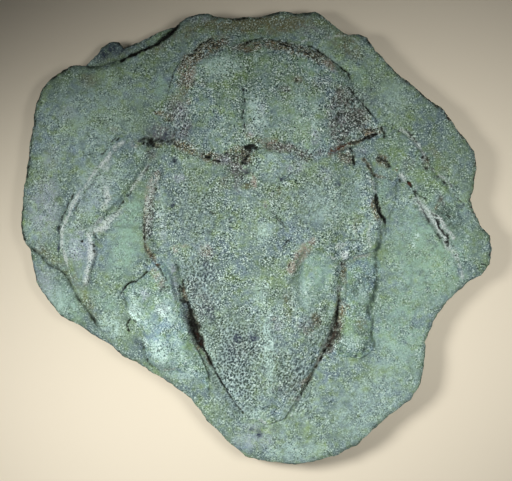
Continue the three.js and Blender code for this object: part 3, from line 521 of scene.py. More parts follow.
# Each oval is a row of its middle's x and y, its length and breadth from the middle, its turn in
# degrees and its amount.
OVALS = {
    "dark": [
        # Holes and cracks darkened, partly painted shade inside them.
        # The neck joint, and the holes at its ends.
        (-2.7, 39, 3, 1.7, 0, 1), (-2.7, 39, 2.2, 1.2, 0, 1), (0.3, 38.7, 1.6, 0.7, 0, 1),
        (22.5, 37.5, 0.8, 0.7, 0, 0.8), (-46.5, 41.3, 2.2, 2.6, 20, 1),
        (-46.5, 41.3, 1.4, 1.8, 20, 1), (-49.3, 41.5, 0.9, 0.9, 0, 0.9),
        # Small holes near the head's corners.
        (-38, 51, 0.9, 0.8, 0, 0.9), (-35.5, 46.5, 1.8, 1.5, 0, 0.6),
        (44.5, 50.5, 1.3, 0.8, 0, 0.7), (42.5, 59.2, 1, 0.5, -20, 0.9),
        # The left crack beside the tail, the foot of the hollow, and small holes.
        (-33.5, -22.5, 1, 1.4, 0, 0.9), (26, -36.5, 2.6, 3, 10, 0.25),
        (-18.5, 10.5, 2, 1.2, -20, 0.55), (-32.3, -0.5, 0.6, 0.6, 0, 0.8),
        (50.3, 64.7, 0.7, 0.5, 0, 0.9),
        # The left fin.
        (-68.5, 28, 2, 1.2, 45, 0.5),
        # The right fin.
        (87.5, -8, 0.7, 0.6, 0, 0.9),
        # The slab's rim, painted shade on its arris.
        (100, -11.5, 1.5, 0.5, 0, 0.7), (98, -14, 0.6, 0.5, 0, 0.6),
    ],
    "gape": [
        # Holes painted black as the shade inside them.
        (-46.3, 41.2, 1.9, 2, 20, 1), (-49.3, 41.5, 0.7, 0.7, 0, 0.8), (-2.7, 39, 2.9, 1.5, 0, 1),
        (-36, 33.3, 0.9, 1.1, 0, 0.5),
    ],
    "dusky": [
        (46.5, -24, 7, 12, 0, 0.6), (46, -45, 6, 7, 0, 0.45), (-89, -23, 8, 11, 40, 0.25),
        (84, 8, 7, 13, 25, 0.6), (24, -28, 8, 7, 0, 0.35), (36, -44, 4, 8, 20, 0.8),
        (25, -41, 6, 6, 0, 0.35), (-27.5, -40, 3.5, 12, 18, 0.8), (-8, 32, 7, 7, 0, 1),
        (-13, -44, 14, 22, 12, 0.4), (-22, -20, 10, 14, 0, 0.3), (33, 86, 9, 5, -30, 0.3),
        (17, -52, 10, 20, 10, 0.2), (90, 30, 8, 14, 0, 0.25),
    ],
    "ink_and_shadow": [
        (-36, 33.3, 1.6, 1.8, 0, 0.9), (-36.5, 14, 1, 1.4, 0, 0.8), (-20.5, 2, 1.6, 1.1, 0, 0.6),
        (-8.5, -44.5, 2.6, 2.2, 0, 0.8), (-0.5, -43.3, 2.2, 2.5, 0, 0.9),
        (-22, -14, 3.4, 3.8, 0, 0.5), (10.5, 25.8, 1.2, 1, 0, 0.9), (-4.6, 30, 1.8, 4.2, 15, 0.55),
        (-2.3, -84.8, 1.5, 1.2, 0, 0.8), (1.2, -86.5, 2.4, 2.2, 0, 0.75),
        (36.5, 23.5, 1.6, 1.4, 0, 0.5), (90.5, 14, 1.4, 1.8, -30, 0.8),
        (93.5, 10, 1.2, 1.4, -30, 0.4), (-28.5, 17.5, 1.6, 1.8, 0, 0.5), (-12, -51, 4, 4.5, 0, 0.4),
        (3, -62, 4, 7, 0, 0.25), (-20, -34, 4.5, 6, 20, 0.45), (9, -67, 3, 2.4, 0, 0.5),
        (-52, -47, 2.5, 4, 0, 0.35), (-47, 46, 3.5, 2, 0, 0.6), (-39.5, 44.5, 2.2, 2, 0, 0.8),
        (-64, 83.5, 11, 3.4, 20, 0.7),
    ],
    "olive": [
        # The first three ovals are the dark olive band along the top of the slab: partly the
        # stone's colour, partly painted shade where the light falls off towards the top.
        (2, 94, 30, 5, 0, 1), (40, 85, 13, 5, -35, 0.45), (-30, 90, 12, 4, 20, 0.45),
        (-74, 69, 5, 4, 0, 0.5), (-62, 81, 14, 4, 20, 0.2), (60, 64, 12, 11, 0, 0.2),
        (-42, 83, 6, 3, 20, 0.4), (10, 19.5, 1.2, 3.5, 0, 0.5), (-14, 23.5, 2.5, 4.5, -20, 0.35),
        (79, 37, 5, 2.2, -45, 0.4), (83, 30, 3, 2, -40, 0.4), (44, 5, 2, 5, 0, 0.35),
        (-4, 22.5, 1.8, 2.2, 0, 0.7), (46.5, -38, 3.5, 3, -30, 0.4), (14, -30, 3.5, 10, 0, 0.35),
    ],
    "brown": [
        (-3, 83.5, 8, 2.8, 8, 1), (7, 84.5, 7, 2.8, -5, 0.95), (18, 81.5, 8, 3.2, -20, 1),
        (28, 78.5, 7, 3, -35, 0.9), (36, 45, 4, 5, 0, 0.4), (-20, 83.5, 10, 4, 28, 1),
        (-29, 77, 7, 4, 48, 0.9), (-31, 69, 4, 7, 0, 0.7), (-41, 54, 5, 1.2, -12, 0.8),
        (-38, 52, 2.4, 1.8, 0, 0.85), (-34, 58, 4, 8, 0, 0.4), (-29.5, 59, 1.3, 2, 0, 0.8),
        (-45, 42, 5, 3, 0, 0.6), (-31.5, 39.6, 6.5, 2.8, -28, 0.95), (-19.5, 35, 7, 2.6, -14, 0.9),
        (-8, 36, 7, 3.4, 10, 0.7), (-7, 35, 6, 4.5, 20, 0.95), (6, 41, 9, 3, -8, 0.6),
        (12, 39.5, 8, 2, -8, 0.55), (22, 35.5, 4, 2.6, 0, 0.55), (39.5, 35.5, 4, 4.4, 20, 0.9),
        (51, 46, 5.5, 2.6, 12, 0.95), (44, 53.5, 5, 8, 25, 0.5), (38, 61, 3.5, 6, 25, 0.45),
        (18, 68.5, 2.6, 2.2, 0, 0.6), (55.5, 33.5, 4, 2.6, -40, 0.8),
        (52.8, 12, 2.6, 6.5, 12, 0.85), (38.5, -15.5, 1.6, 5, 0, 0.55),
        (26, -36.5, 2.6, 3.4, 20, 0.6), (23, -41.5, 2.6, 2, 0, 0.45), (40, -31, 2, 1.8, 0, 0.45),
        (74.5, 32.5, 2, 3.2, 20, 0.85), (61.5, 29.5, 0.9, 0.8, 0, 0.7), (-63, 47, 2.5, 2, 0, 0.3),
    ],
    "plum": [
        (-31.5, 49, 3.4, 7.5, 0, 0.65), (-41, 45.5, 8, 4.6, -20, 0.8), (-36, 56, 4.5, 5, 0, 0.4),
        (-26, 67, 6, 2, -10, 0.35), (40, 55, 10, 12, -10, 0.55), (35.5, 50, 5, 11, 0, 0.5),
        (36.5, 44, 4.5, 4.5, 0, 0.6), (12, 64.5, 3.4, 1.8, 0, 0.6), (12, 39, 9, 2.6, -6, 0.85),
        (21.5, 35, 5, 3, 0, 0.65), (28, 37, 2.6, 2, 0, 0.45), (40.5, 35, 2.6, 3.5, 10, 0.5),
        (-14, 34, 6, 3, 0, 0.7), (-46.5, 36, 3, 3, 0, 0.5), (-46.5, 9, 2.2, 13, -5, 0.65),
        (-41.5, -20.5, 2.8, 4.5, 25, 0.5), (-27, -22, 4.5, 5, 0, 0.4), (-23, -30, 6, 7, 20, 0.45),
        (-6, -49, 8, 7, 0, 0.25), (15, -66, 6, 7, -20, 0.3), (-8, 31, 5, 6, 0, 1),
        (-8, 24, 3, 6, 0, 0.4), (21, -39, 5, 5, 0, 0.35), (38, -12.5, 2, 2, 0, 0.4),
        (-21.5, -8, 4, 5, 0, 0.35), (81, 16, 2.2, 4.5, 20, 0.35), (67, 32, 3.5, 4, 0, 0.3),
        (29, 67, 5, 4, 0, 0.3),
    ],
    "lilac": [
        (-33.5, 25.5, 3, 2, -10, 0.8), (17, 30, 4.5, 3, 0, 0.5), (30, 27, 4, 3.4, 0, 0.35),
        (26, 43.5, 2.4, 4, 0, 0.6), (-2.5, 47, 3.5, 3.5, 0, 0.45), (2.5, 56, 2.2, 5, 0, 0.5),
        (-33, 52, 4, 9, 0, 0.5), (-48.5, -25, 2.2, 4, 10, 0.55), (-41, 4, 2, 8, 0, 0.35),
        (-41.5, -31, 3, 3, 0, 0.4), (-69, 7, 1.4, 1.2, 0, 0.6), (7, 17, 1.4, 3.4, 0, 0.5),
        (46, 38, 2.6, 2.2, 0, 0.4), (-14, 34, 2.8, 2.8, 0, 0.7), (-31.5, -30, 1, 3, 15, 0.5),
        (-72, 20, 8, 15, -35, 0.35), (-78, -4, 7, 12, 10, 0.5), (-93, -20, 6, 9, 20, 0.35),
        (-93, 14, 8, 16, 0, 0.55), (-83, 55, 5, 4, 0, 0.25), (-90, 35, 5, 8, 0, 0.25),
        (-25, 96, 5, 2, 0, 0.4), (0, -88, 12, 7, 0, 0.35), (24, 91, 6, 3, 0, 0.3),
        (10, -38, 2.4, 5, 0, 0.4),
    ],
    "pink": [
        (-22, -6, 3, 3.4, 0, 0.6), (-35.5, -5, 1.6, 2.6, 0, 0.6), (-32, -3.6, 2.6, 0.9, 0, 0.6),
        (-1.3, 24.5, 1.6, 4, 10, 1), (-43.8, -17, 2.2, 5, 30, 0.65),
        (21.5, -63.3, 2.6, 1.3, 35, 0.6), (17, -71, 2, 1.2, 35, 0.5), (4, 14.5, 1.3, 1.8, 0, 0.6),
        (51, 46, 3.4, 1.4, 12, 0.5), (30.5, 77.5, 2, 1.6, -30, 0.6), (32, 75.5, 2.4, 4, 35, 0.6),
        (-14.5, 85.5, 2.4, 1.4, 0, 0.6), (-29.5, 72, 3.4, 5, 20, 0.6), (6, 40.5, 1.5, 1.4, 0, 0.6),
        (-3, 44, 2.2, 1.6, 0, 0.4), (8, -35.5, 2.2, 1.2, 0, 0.5), (-53, 41, 2.6, 2.2, 0, 0.4),
    ],
    "rust": [
        (67.2, 23, 1.3, 1, -30, 0.9),
    ],
    "cream": [
        # The trunk.
        (37, -4, 3, 1.6, 20, 0.6), (38.5, -8, 2.2, 2.6, 0, 0.7),
    ],
    "pale": [
        (0.5, 53, 5, 10, 5, 0.85), (25.5, 52, 1.8, 8, 0, 0.5), (-19.5, 44.5, 2, 2, 0, 0.5),
        (-19.5, 74.5, 2, 1.5, 0, 0.6), (0, 78, 1.4, 2.2, 0, 0.6), (5.5, -52, 2.8, 18, 3, 0.95),
        (3, -25, 5, 8, 0, 0.3), (-52, -25, 3.4, 4, 0, 0.4), (-47, -38, 4, 6, 0, 0.4),
        (-42.5, -50, 4.5, 7, 10, 1), (-53, -32, 4, 6, 10, 0.7), (-37, -34, 4, 8, 15, 0.45),
        (-35, -46, 3, 6, 15, 0.4), (2.5, 2.5, 4.5, 6, -10, 0.5), (31, 14, 12, 11, 0, 0.35),
        (20, -26, 6, 9, 0, 0.3), (48, -76, 20, 14, 40, 0.35), (62, -58, 14, 18, 0, 0.15),
        (-33, -56, 9, 8, 0, 0.4), (-70, 52, 22, 20, 0, 0.25), (-64, -40, 8, 6, -30, 0.5),
        (17, -95, 14, 5, 0, 0.4), (-16, 74, 12, 6, 15, 0.5), (17, 52, 10, 12, 0, 0.25),
        (-72, 22, 8, 16, -35, 0.4), (-82, -1, 5, 9, 0, 0.4), (62, 62, 10, 9, 0, 0.15),
        (-88, -28, 9, 6, -40, 0.35), (42, -46, 5, 4, 0, 0.45), (47, -25, 2.6, 5, 0, 0.4),
        (0, -78, 5, 3, 0, 0.35), (-41.5, 10, 1.6, 12, 0, 0.45), (46, 24, 3, 3, 0, 0.35),
        (7, 34.5, 3, 2.4, -20, 0.5), (-60, 29, 4, 4, 0, 0.25), (-51.5, 38, 3, 3, 0, 0.35),
    ],
    "crust": [
        (-54.5, -33.5, 1.6, 3.2, 30, 1), (-51.8, -36.5, 1.8, 1, 0, 0.7),
        (-41.8, -33, 1.8, 3, 35, 0.85), (-43.5, -28.5, 1.2, 2.2, 0, 0.6),
        (-38.5, -31.5, 1.4, 1.4, 0, 0.5), (-48.3, -46.3, 0.8, 3, 12, 1),
        (-31, -42.5, 0.9, 1.1, 0, 0.8), (-54.3, -25.5, 1, 2, 0, 0.5), (71, 0.5, 1.6, 1.2, 0, 0.6),
        (69, -3.5, 1.4, 1.4, 0, 0.6), (37.5, -45.5, 1.6, 1, 0, 0.6), (6, -34, 1.4, 1.4, 0, 0.5),
        (-3.3, -36.2, 1, 0.6, 25, 0.8), (4, -21, 3, 1.2, -30, 0.4), (-15.5, -18, 2, 2, 0, 0.3),
        (-1.8, 61, 1, 1.2, 0, 0.6),
    ],
    "green": [
        (76.5, -5.5, 19.4, 26.4, 0, 0.6), (63, -41, 13.2, 22, 0, 0.45), (-58, -3, 8, 18, -10, 0.65),
        (-54, 12, 4, 10, -25, 0.6), (25, -18, 9, 14, -10, 0.4), (-86.5, -27.5, 13, 10, -40, 0.55),
        (-42, 66, 3, 6, 0, 0.5), (46, 70, 4, 5, 0, 0.4), (60, 64, 9, 9, 0, 0.4),
        (56, 20, 3, 10, 0, 0.4), (19, 56, 7, 7, 0, 0.2), (41, 16.5, 6.2, 8.8, 0, 0.2),
        (-66, -28, 8, 5, -30, 0.45), (-16, 77, 5, 3, 15, 0.4), (22, 75, 8, 3, -20, 0.4),
    ],
}

# Streaks that follow a stretch of the slab's rim: tone, width, amount and the stretch. The dark and
# dusky streaks along the rims are painted shade on the rounded arris. Along the upper left step,
# the dark, gape and furrow streaks are the painted shadow that the upper bed casts over the chip.
# Along the lower left step, they are painted shade at the step's foot. The rust is the stone's own.
RIM_STREAKS = [
    ("dark", 1, 0.7, RIGHT_RIM), ("dark", 1.2, 0.8, LEFT_RIM), ("dark", 1.2, 0.75, HEAD_RIM),
    ("dark", 2.2, 1, UPPER_LEFT_STEP[:7]), ("dark", 0.8, 0.5, LOWER_LEFT_STEP[:9]),
    ("dark", 0.9, 0.6, LOWER_LEFT_RIM), ("dark", 1, 0.6, CHIP_RIM),
    ("gape", 1.8, 1, UPPER_LEFT_STEP[:7]), ("furrow_shade", 2, 0.7, LOWER_LEFT_STEP[:9]),
    ("furrow_shade", 2.6, 0.8, UPPER_LEFT_STEP), ("dusky", 5, 0.45, HEAD_RIM),
    ("dusky", 3.4, 0.4, RIGHT_RIM), ("dusky", 3.4, 0.4, LEFT_RIM),
    ("dusky", 5, 0.4, LOWER_LEFT_RIM[:5]), ("rust", 0.9, 0.3, RIGHT_RIM[4:14]),
]

# Where the bone's net of pits shows, and how strongly, as ovals.
PITTED_OVALS = [
    (-7, -60, 15, 24, 0, 1), (17, -64, 10, 19, 12, 1), (-24, -27, 10, 22, 8, 0.85),
    (-28, 10, 10, 22, 0, 0.5), (-5, -45, 20, 14, 0, 0.7), (27, -40, 8, 12, 0, 0.6),
    (41, 53, 10, 15, -20, 0.8), (-36, 50, 9, 10, 0, 0.6), (20, 62, 14, 12, 0, 0.3),
    (20, 15, 22, 16, 0, 0.3), (0, 44, 30, 8, 0, 0.3), (-22, -14, 4, 5, 0, 1),
    (-38, 56, 3, 4, -40, 0.9),
]

MARKS = {
    tone: [oval(*row) for row in OVALS.get(tone, [])] + streaks_of(STREAKS.get(tone, []))
    + [streak(width, amount, path) for name, width, amount, path in RIM_STREAKS if name == tone]
    for tone in {**STREAKS, **OVALS}
}
PITTED = [oval(*row) for row in PITTED_OVALS]

# How far each tone lifts the surface or cuts into it, in millimetres: the cream lines of bone
# stand a little proud, and cracks are open.
INCISED = {"cream": 0.3, "dark": -0.8, "gape": -0.9, "furrow_shade": -0.4}

# The net of pits. Its rows are PIT_SPACING millimetres apart and wander. Left and right of the
# midline the rows have their own turn in degrees, stretch along the row, and seed. A pit is deepest
# up to the first of its radii and ends at the second, in spacings. PIT_JITTER is how far pits stray
# in their cells, and PALEST_PIT how dark the palest one is against the darkest: the pits' darkness
# is painted shade.
PIT_SPACING = 1.05
PIT_DEPTH = 0.35
PIT_RADII = (0.27, 0.53)
PIT_WANDER = 0.3
PIT_WANDER_SIZE = 3.5
PIT_JITTER = 0.8
PALEST_PIT = 0.6
MIDLINE = 4.5
LEFT_ROWS = (65, 1.15, 3)
RIGHT_ROWS = (62, 1.7, 4)

# Roughness, in layers: the height and the size of its largest lumps, in millimetres, and a seed.
# RELIEF_SPAN spreads its octaves to about -1 to 1.
RELIEF_SPAN = 1.1
STONE_WAVES = [(0.3, 24, 31)]
STONE_SCARS = [(0.2, 7, 32), (0.09, 1.8, 33)]
BONE_SCARS = [(0.5, 9, 41), (0.5, 3.2, 42), (0.26, 1.1, 43)]
LEDGE_SCARS = [(0.5, 9, 61), (0.3, 2.4, 62)]
RIM_SCARS = [(1, 7, 51), (0.6, 2.2, 52)]
DRIFT_RIGHT = [(0.8, 4, 11), (0.35, 1.2, 12)]
DRIFT_UP = [(0.8, 4, 21), (0.35, 1.2, 22)]

# What breaks stains, cracks, flecks, pits and edges up: its size in millimetres, and a seed.
BROAD_BREAKS = (2.8, 15)
FINE_BREAKS = (1, 16)
CREASES = (3.6, 14)
SPECKS = (0.75, 17)
FLECK_BREAKS = (4, 18)
PIT_BREAKS = (6, 13)
ARRIS_BREAKS = (5, 34)
LIP_BREAKS = (8, 44)

# What the broad and the fine breaks leave of stains, cracks and gapes: a level, and how strongly
# each of the two plays around it.
STAIN_WEAR = (1, 1.1, 1.2)
CRACK_WEAR = (0.85, -0.6, 1.2)
GAPE_WEAR = (1, 0.9, 0)

# Brown and plum bone is finely cracked and specked: how strongly the two stains count, how wide a
# crease is, between which values of the noise a speck darkens, and how dark creases and specks are.
STAINED_GAIN = 1.2
CREASE_WIDTH = 0.12
SPECK_LEVELS = (0.15, 0.35)
CREASE_DARKNESS = 0.5
SPECK_DARKNESS = 0.7

# Between which strengths a crack turns deep, and a gape opens.
DEEP_CRACK = (0.45, 0.85)
OPEN_GAPE = (0.15, 0.6)

# Pits show faintly all over the bone, and thin out in patches. The hollow is bare of them, from
# the second of these depths inside its edge.
FAINT_PITS = 0.08
THINNED_PITS = 0.55
PIT_PATCHES = (-0.5, 0.4)
BARE_HOLLOW = (-1, 3)

# Flecks: the share that green stains and the hollow take away, the share that the stone outside
# the shields takes and where it starts, the share of the pits, how strongly they gather in
# patches, and the share that stained bone adds.
FLECKS_OFF_GREEN = 0.5
FLECKS_OFF_SHIELDS = 0.2
SHIELD_EDGE = (-0.5, 0.5)
FLECKS_OFF_PITS = 0.1
FLECK_PATCHES = 1.1
FLECKS_ON_STAINS = 0.8

# A broken wall: lumps, thin bedding laminae and small bites, each with its height and with its
# size level and upright.
WALL_RELIEF = [(0.7, 7, 7), (0.5, 16, 0.9), (0.28, 2, 2)]
WALL_BULGE = 0.4

# Rings down a wall, counted from the rim: between which of them the stains end, the wall's own
# tone begins, and the break begins to show.
STAINS_END = (0.5, 3)
WALL_BEGINS = (0, 1.5)
BREAK_BEGINS = (0, 2)

# The arris of each bed: how far it has fallen, and how wide.
UPPER_ARRIS = (0.9, 1.6)
LOWER_ARRIS = (0.8, 1.8)
ARRIS_CHIPPING = 0.8

# How wide a bone's lip is and the share of it that is always there, and how far in from a bone's
# edge its forms have risen in full.
LIP_WIDTH = 1.6
LIP_LEVEL = 0.6
FORMS_RISEN = 2

# How deep the stone sinks below the bones, between which depths inside their edges, and between
# which depths the lower bed goes under the upper one.
SUNK_BELOW_BONES = 1.8
SUNK_INSIDE = (0.2, 1.4)
BURIED_INSIDE = (0.4, 1.8)
CHIP_FROM_Y = 40

# How ragged the outlines are, how far in from them that still shows, and how far the walls step
# back at each height, highest first.
BED_RAGGED = 0.7
BONE_RAGGED = 0.3
RAGGED_DEPTH = 3
UPPER_BACKS = [(20, 0), (UPPER_BED_UNDERSIDE, 0.3)]
LOWER_BACKS = [
    (14, 0.4), (9.6, 0.9), (9.4, 0.4), (LOWEST_BED_TOP, 0.5), (LOWEST_BED_TOP - 0.3, 2.2), (0, 2.4),
]
BONE_BACKS = [(0, 0)]

# Cell sizes of the modelled faces, in millimetres, and where the stone's cells are cut finer:
# out to some way past the bones, and near the rims.
STONE_CELL = 2
STONE_CUTS = 3
FINE_PAST_BONES = 2.5
FINE_NEAR_RIM = 4
SHIELD_CELL = 0.3
PLATE_CELL = 0.35
WALL_RINGS = {"upper": 8, "lower": 20, "bone": 2}
WELD_DISTANCE = 0.04


def ease(low, high, value):
    """0 up to low and 1 from high on, with a smooth rise between."""
    t = np.clip((value - low) / (high - low), 0, 1)
    return t * t * (3 - 2 * t)


def nearest_on_path(x, y, path):
    """The nearest point of a path to each point, and how far it is."""
    best = np.full(x.shape, np.inf)
    spot_x, spot_y = np.zeros(x.shape), np.zeros(x.shape)
    for (ax, ay), (bx, by) in zip(path, path[1:]):
        dx, dy = bx - ax, by - ay
        along = np.clip(((x - ax) * dx + (y - ay) * dy) / (dx * dx + dy * dy), 0, 1)
        px, py = ax + along * dx, ay + along * dy
        distance = np.hypot(x - px, y - py)
        nearer = distance < best
        best = np.where(nearer, distance, best)
        spot_x, spot_y = np.where(nearer, px, spot_x), np.where(nearer, py, spot_y)
    return spot_x, spot_y, best


def distance_to_path(x, y, path):
    return nearest_on_path(x, y, path)[2]


def depth_inside(x, y, outline):
    """Distance to an outline, positive inside it and negative outside."""
    closed = [*outline, outline[0]]
    inside = np.zeros(x.shape, bool)
    for (ax, ay), (bx, by) in zip(closed, closed[1:]):
        if ay != by:
            inside ^= ((ay > y) != (by > y)) & (x < ax + (y - ay) / (by - ay) * (bx - ax))
    return np.where(inside, 1, -1) * distance_to_path(x, y, closed)


def lattice(column, row, seed):
    """A fixed random value from 0 to 1 for each point of a square lattice.

    The numbers only scatter the values.
    """
    value = np.sin(column * 127.1 + row * 311.7 + seed * 74.7) * 43758.5453
    return value - np.floor(value)


def rough(x, y, size, seed, octaves=3):
    """Smooth random relief from about -1 to 1, with lumps up to the given size."""
    relief = np.zeros(x.shape)
    for octave in range(octaves):
        u, v = x / size * 2 ** octave, y / size * 2 ** octave
        column, row = np.floor(u), np.floor(v)
        s, t = ease(0, 1, u - column), ease(0, 1, v - row)
        corners = [lattice(column + i, row + j, seed + octave) for j in (0, 1) for i in (0, 1)]
        near = corners[0] * (1 - s) + corners[1] * s
        far = corners[2] * (1 - s) + corners[3] * s
        relief += (near * (1 - t) + far * t - 0.5) / 2 ** octave
    return relief * RELIEF_SPAN


def layered(x, y, layers):
    return sum(height * rough(x, y, size, seed) for height, size, seed in layers)


def pits(x, y, turn, stretch, seed):
    """1 in each pit and 0 on the net of bone between."""
    cosine, sine = math.cos(math.radians(turn)), math.sin(math.radians(turn))
    strays = [PIT_WANDER * rough(x, y, PIT_WANDER_SIZE, seed + i) for i in (1, 2)]
    u = (x * cosine + y * sine) / PIT_SPACING / stretch + strays[0]
    v = (y * cosine - x * sine) / PIT_SPACING + strays[1]
    column, row = np.floor(u), np.floor(v)
    nearest, darkness = np.full(x.shape, np.inf), np.zeros(x.shape)
    for across in (-1, 0, 1):
        for up in (-1, 0, 1):
            cell = column + across, row + up
            spot_u, spot_v = (0.5 + PIT_JITTER * (lattice(*cell, seed + i) - 0.5) for i in (0, 5))
            distance = np.hypot(u - cell[0] - spot_u, v - cell[1] - spot_v)
            dark = PALEST_PIT + (1 - PALEST_PIT) * lattice(*cell, seed + 9)
            darkness = np.where(distance < nearest, dark, darkness)
            nearest = np.minimum(nearest, distance)
    return darkness * (1 - ease(*PIT_RADII, nearest))


def strongest(marks, x, y):
    """The strength of overlapping marks, from 0 to 1."""
    clear = np.ones(x.shape)
    for mark in marks:
        clear = clear * (1 - np.clip(mark(x, y), 0, 1))
    return 1 - clear


def painted(x, y):
    """How strongly each tone shows at each point, with ragged edges, and the pits."""
    drift = x + layered(x, y, DRIFT_RIGHT), y + layered(x, y, DRIFT_UP)
    broad, fine = rough(x, y, *BROAD_BREAKS), rough(x, y, *FINE_BREAKS)

    def what_is_left(level, broad_share, fine_share):
        return level + broad_share * broad + fine_share * fine

    whole = {tone: strongest(marks, *drift) for tone, marks in MARKS.items()}
    tones = {tone: np.clip(strength * what_is_left(*STAIN_WEAR), 0, 1)
             for tone, strength in whole.items()}
    stained = np.clip(STAINED_GAIN * (tones["brown"] + tones["plum"]), 0, 1)
    crease = 1 - ease(0, CREASE_WIDTH, np.abs(rough(*drift, *CREASES)))
    specks = ease(*SPECK_LEVELS, rough(x, y, *SPECKS, octaves=1))
    cracks = tones["dark"] * np.clip(what_is_left(*CRACK_WEAR), 0, 1)
    tones["dark"] = np.max([
        cracks, CREASE_DARKNESS * stained * crease, SPECK_DARKNESS * stained * specks], axis=0)
    tones["deep"] = ease(*DEEP_CRACK, tones["dark"])
    tones["gape"] = ease(*OPEN_GAPE, whole["gape"] * what_is_left(*GAPE_WEAR))
    hollow = ease(*BARE_HOLLOW, depth_inside(x, y, HOLLOW))
    patchy = ease(*PIT_PATCHES, rough(x, y, *PIT_BREAKS))
    strength = (FAINT_PITS + (1 - FAINT_PITS) * strongest(PITTED, *drift)) \
        * (THINNED_PITS + (1 - THINNED_PITS) * patchy) * (1 - hollow)
    spots = np.where(x < MIDLINE, pits(x, y, *LEFT_ROWS), pits(x, y, *RIGHT_ROWS))
    tones["pit"] = strength * spots
    tones["net"] = strength * (1 - spots)
    roof = np.maximum(depth_inside(x, y, HEAD_OUTLINE), depth_inside(x, y, TRUNK_OUTLINE))
    tones["speckled"] = (1 - FLECKS_OFF_GREEN * np.maximum(tones["green"], hollow)) \
        * (1 - FLECKS_OFF_SHIELDS * (1 - ease(*SHIELD_EDGE, roof))) \
        * (1 + FLECK_PATCHES * rough(x, y, *FLECK_BREAKS)) \
        * (1 + FLECKS_ON_STAINS * stained) * (1 - FLECKS_OFF_PITS * strength)
    return tones


def total(forms, x, y):
    return sum(form(x, y) for form in forms)


def bone_depth(x, y):
    """Depth inside the nearest bone, negative between the bones."""
    return np.max([depth_inside(x, y, outline) for outline in BONE_OUTLINES], axis=0)


def split_face(x, y):
    """The face that the stone split along: gentle waves and a fall at the rim."""
    inward = ease(0, RIM_FALL_WIDTH, depth_inside(x, y, UPPER_BED_OUTLINE))
    return SLAB_TOP - RIM_FALL * (1 - inward) + total(STONE_FACE, x, y) \
        + layered(x, y, STONE_WAVES)


def incised(tones):
    return sum(lift * tones[tone] for tone, lift in INCISED.items())


def fallen_arris(x, y, outline, fall, width):
    return -fall * (1 - ease(0, width, depth_inside(x, y, outline)))


def stone_surface(x, y, tones):
    """The split face with its scars, a broken arris, and sunk out of sight below the bones."""
    arris = fallen_arris(x, y, UPPER_BED_OUTLINE, *UPPER_ARRIS)
    arris *= 1 + ARRIS_CHIPPING * rough(x, y, *ARRIS_BREAKS)
    sunk = SUNK_BELOW_BONES * ease(*SUNK_INSIDE, bone_depth(x, y))
    return split_face(x, y) + total(STONE_DETAILS, x, y) + layered(x, y, STONE_SCARS) + arris \
        + incised(tones) - sunk


def lower_surface(x, y, tones):
    """The lower bed's face: the ledge, the chip and, out of sight, what the upper bed lies on."""
    buried = ease(*BURIED_INSIDE, depth_inside(x, y, UPPER_BED_OUTLINE))
    open_top = np.where(y > CHIP_FROM_Y, CHIP_TOP, LEDGE_TOP) + layered(x, y, LEDGE_SCARS) \
        + fallen_arris(x, y, LOWER_BED_OUTLINE, *LOWER_ARRIS)
    return open_top + (MIDDLE_BED_TOP - open_top) * buried


def bone_surface(outline, base, forms, lip, grain):
    """A bone's surface: its form, its roughness, its pits, and an edge that meets the stone."""
    def height(x, y, tones):
        depth = depth_inside(x, y, outline)
        edge = lip * ease(0, LIP_WIDTH, depth) * (LIP_LEVEL + rough(x, y, *LIP_BREAKS))
        form = base(x, y, depth) + total(forms, x, y) * ease(0, FORMS_RISEN, depth)
        return split_face(x, y) + edge + form + grain * layered(x, y, BONE_SCARS) \
            + incised(tones) - PIT_DEPTH * tones["pit"]
    return height


def head_base(x, y, depth):
    """The head slopes down to its front edge, and dips a little at the neck."""
    front = ease(0, EDGE_SLOPE, distance_to_path(x, y, HEAD_FRONT))
    neck = ease(0, EDGE_SLOPE, distance_to_path(x, y, NECK_JOINT))
    return HEAD_RISE * front + NECK_DIP * neck


def trunk_base(x, y, depth):
    """The trunk's back stands above its flanges, and gets lower towards the tail."""
    back = ease(0, EDGE_SLOPE, depth_inside(x, y, TRUNK_BACK))
    neck = ease(0, EDGE_SLOPE, distance_to_path(x, y, NECK_JOINT))
    hollow = ease(*HOLLOW_SLOPE, depth_inside(x, y, HOLLOW))
    rise = TAIL_RISE + (TRUNK_RISE - TAIL_RISE) * ease(*TAIL_TAPER, y)
    return rise * back + NECK_DIP * neck - HOLLOW_DEPTH * hollow


def rounded_base(rise, round_over):
    """A flat bone whose edge is rounded over the given width."""
    return lambda x, y, depth: rise * ease(0, round_over, depth)


def grid_over(outline, cell):
    """A flat grid of square cells over an outline's box, in millimetres."""
    low, high = np.min(outline, axis=0) - cell, np.max(outline, axis=0) + cell
    columns, rows = (int(count) for count in np.ceil((high - low) / cell))
    bm = bmesh.new()
    bmesh.ops.create_grid(bm, x_segments=columns, y_segments=rows, size=0.5)
    bmesh.ops.scale(bm, vec=(columns * cell, rows * cell, 1), verts=bm.verts)
    bmesh.ops.translate(bm, vec=(*(low + high) / 2, 0), verts=bm.verts)
    return bm


def face_middles(bm):
    return np.array([face.calc_center_median().xy for face in bm.faces]).T


def trim(bm, outline, margin=0):
    """Deletes the faces that lie further than a margin outside an outline."""
    outside = depth_inside(*face_middles(bm), outline) < -margin
    gone = [face for face, out in zip(bm.faces, outside) if out]
    bmesh.ops.delete(bm, geom=gone, context="FACES")


def fit_rim(bm, outline):
    """Draws the stepped rim of a trimmed grid out to the outline itself."""
    def pinched():
        return [v for v in bm.verts if sum(edge.is_boundary for edge in v.link_edges) > 2]
    while points := pinched():
        gone = dict.fromkeys(face for point in points for face in point.link_faces)
        bmesh.ops.delete(bm, geom=list(gone), context="FACES")
    rim = [vert for vert in bm.verts if vert.is_boundary]
    x, y = np.array([vert.co.xy for vert in rim]).T
    spot_x, spot_y, _ = nearest_on_path(x, y, [*outline, outline[0]])
    for vert, *spot in zip(rim, spot_x, spot_y):
        vert.co.xy = spot
    bmesh.ops.remove_doubles(bm, verts=rim, dist=WELD_DISTANCE)


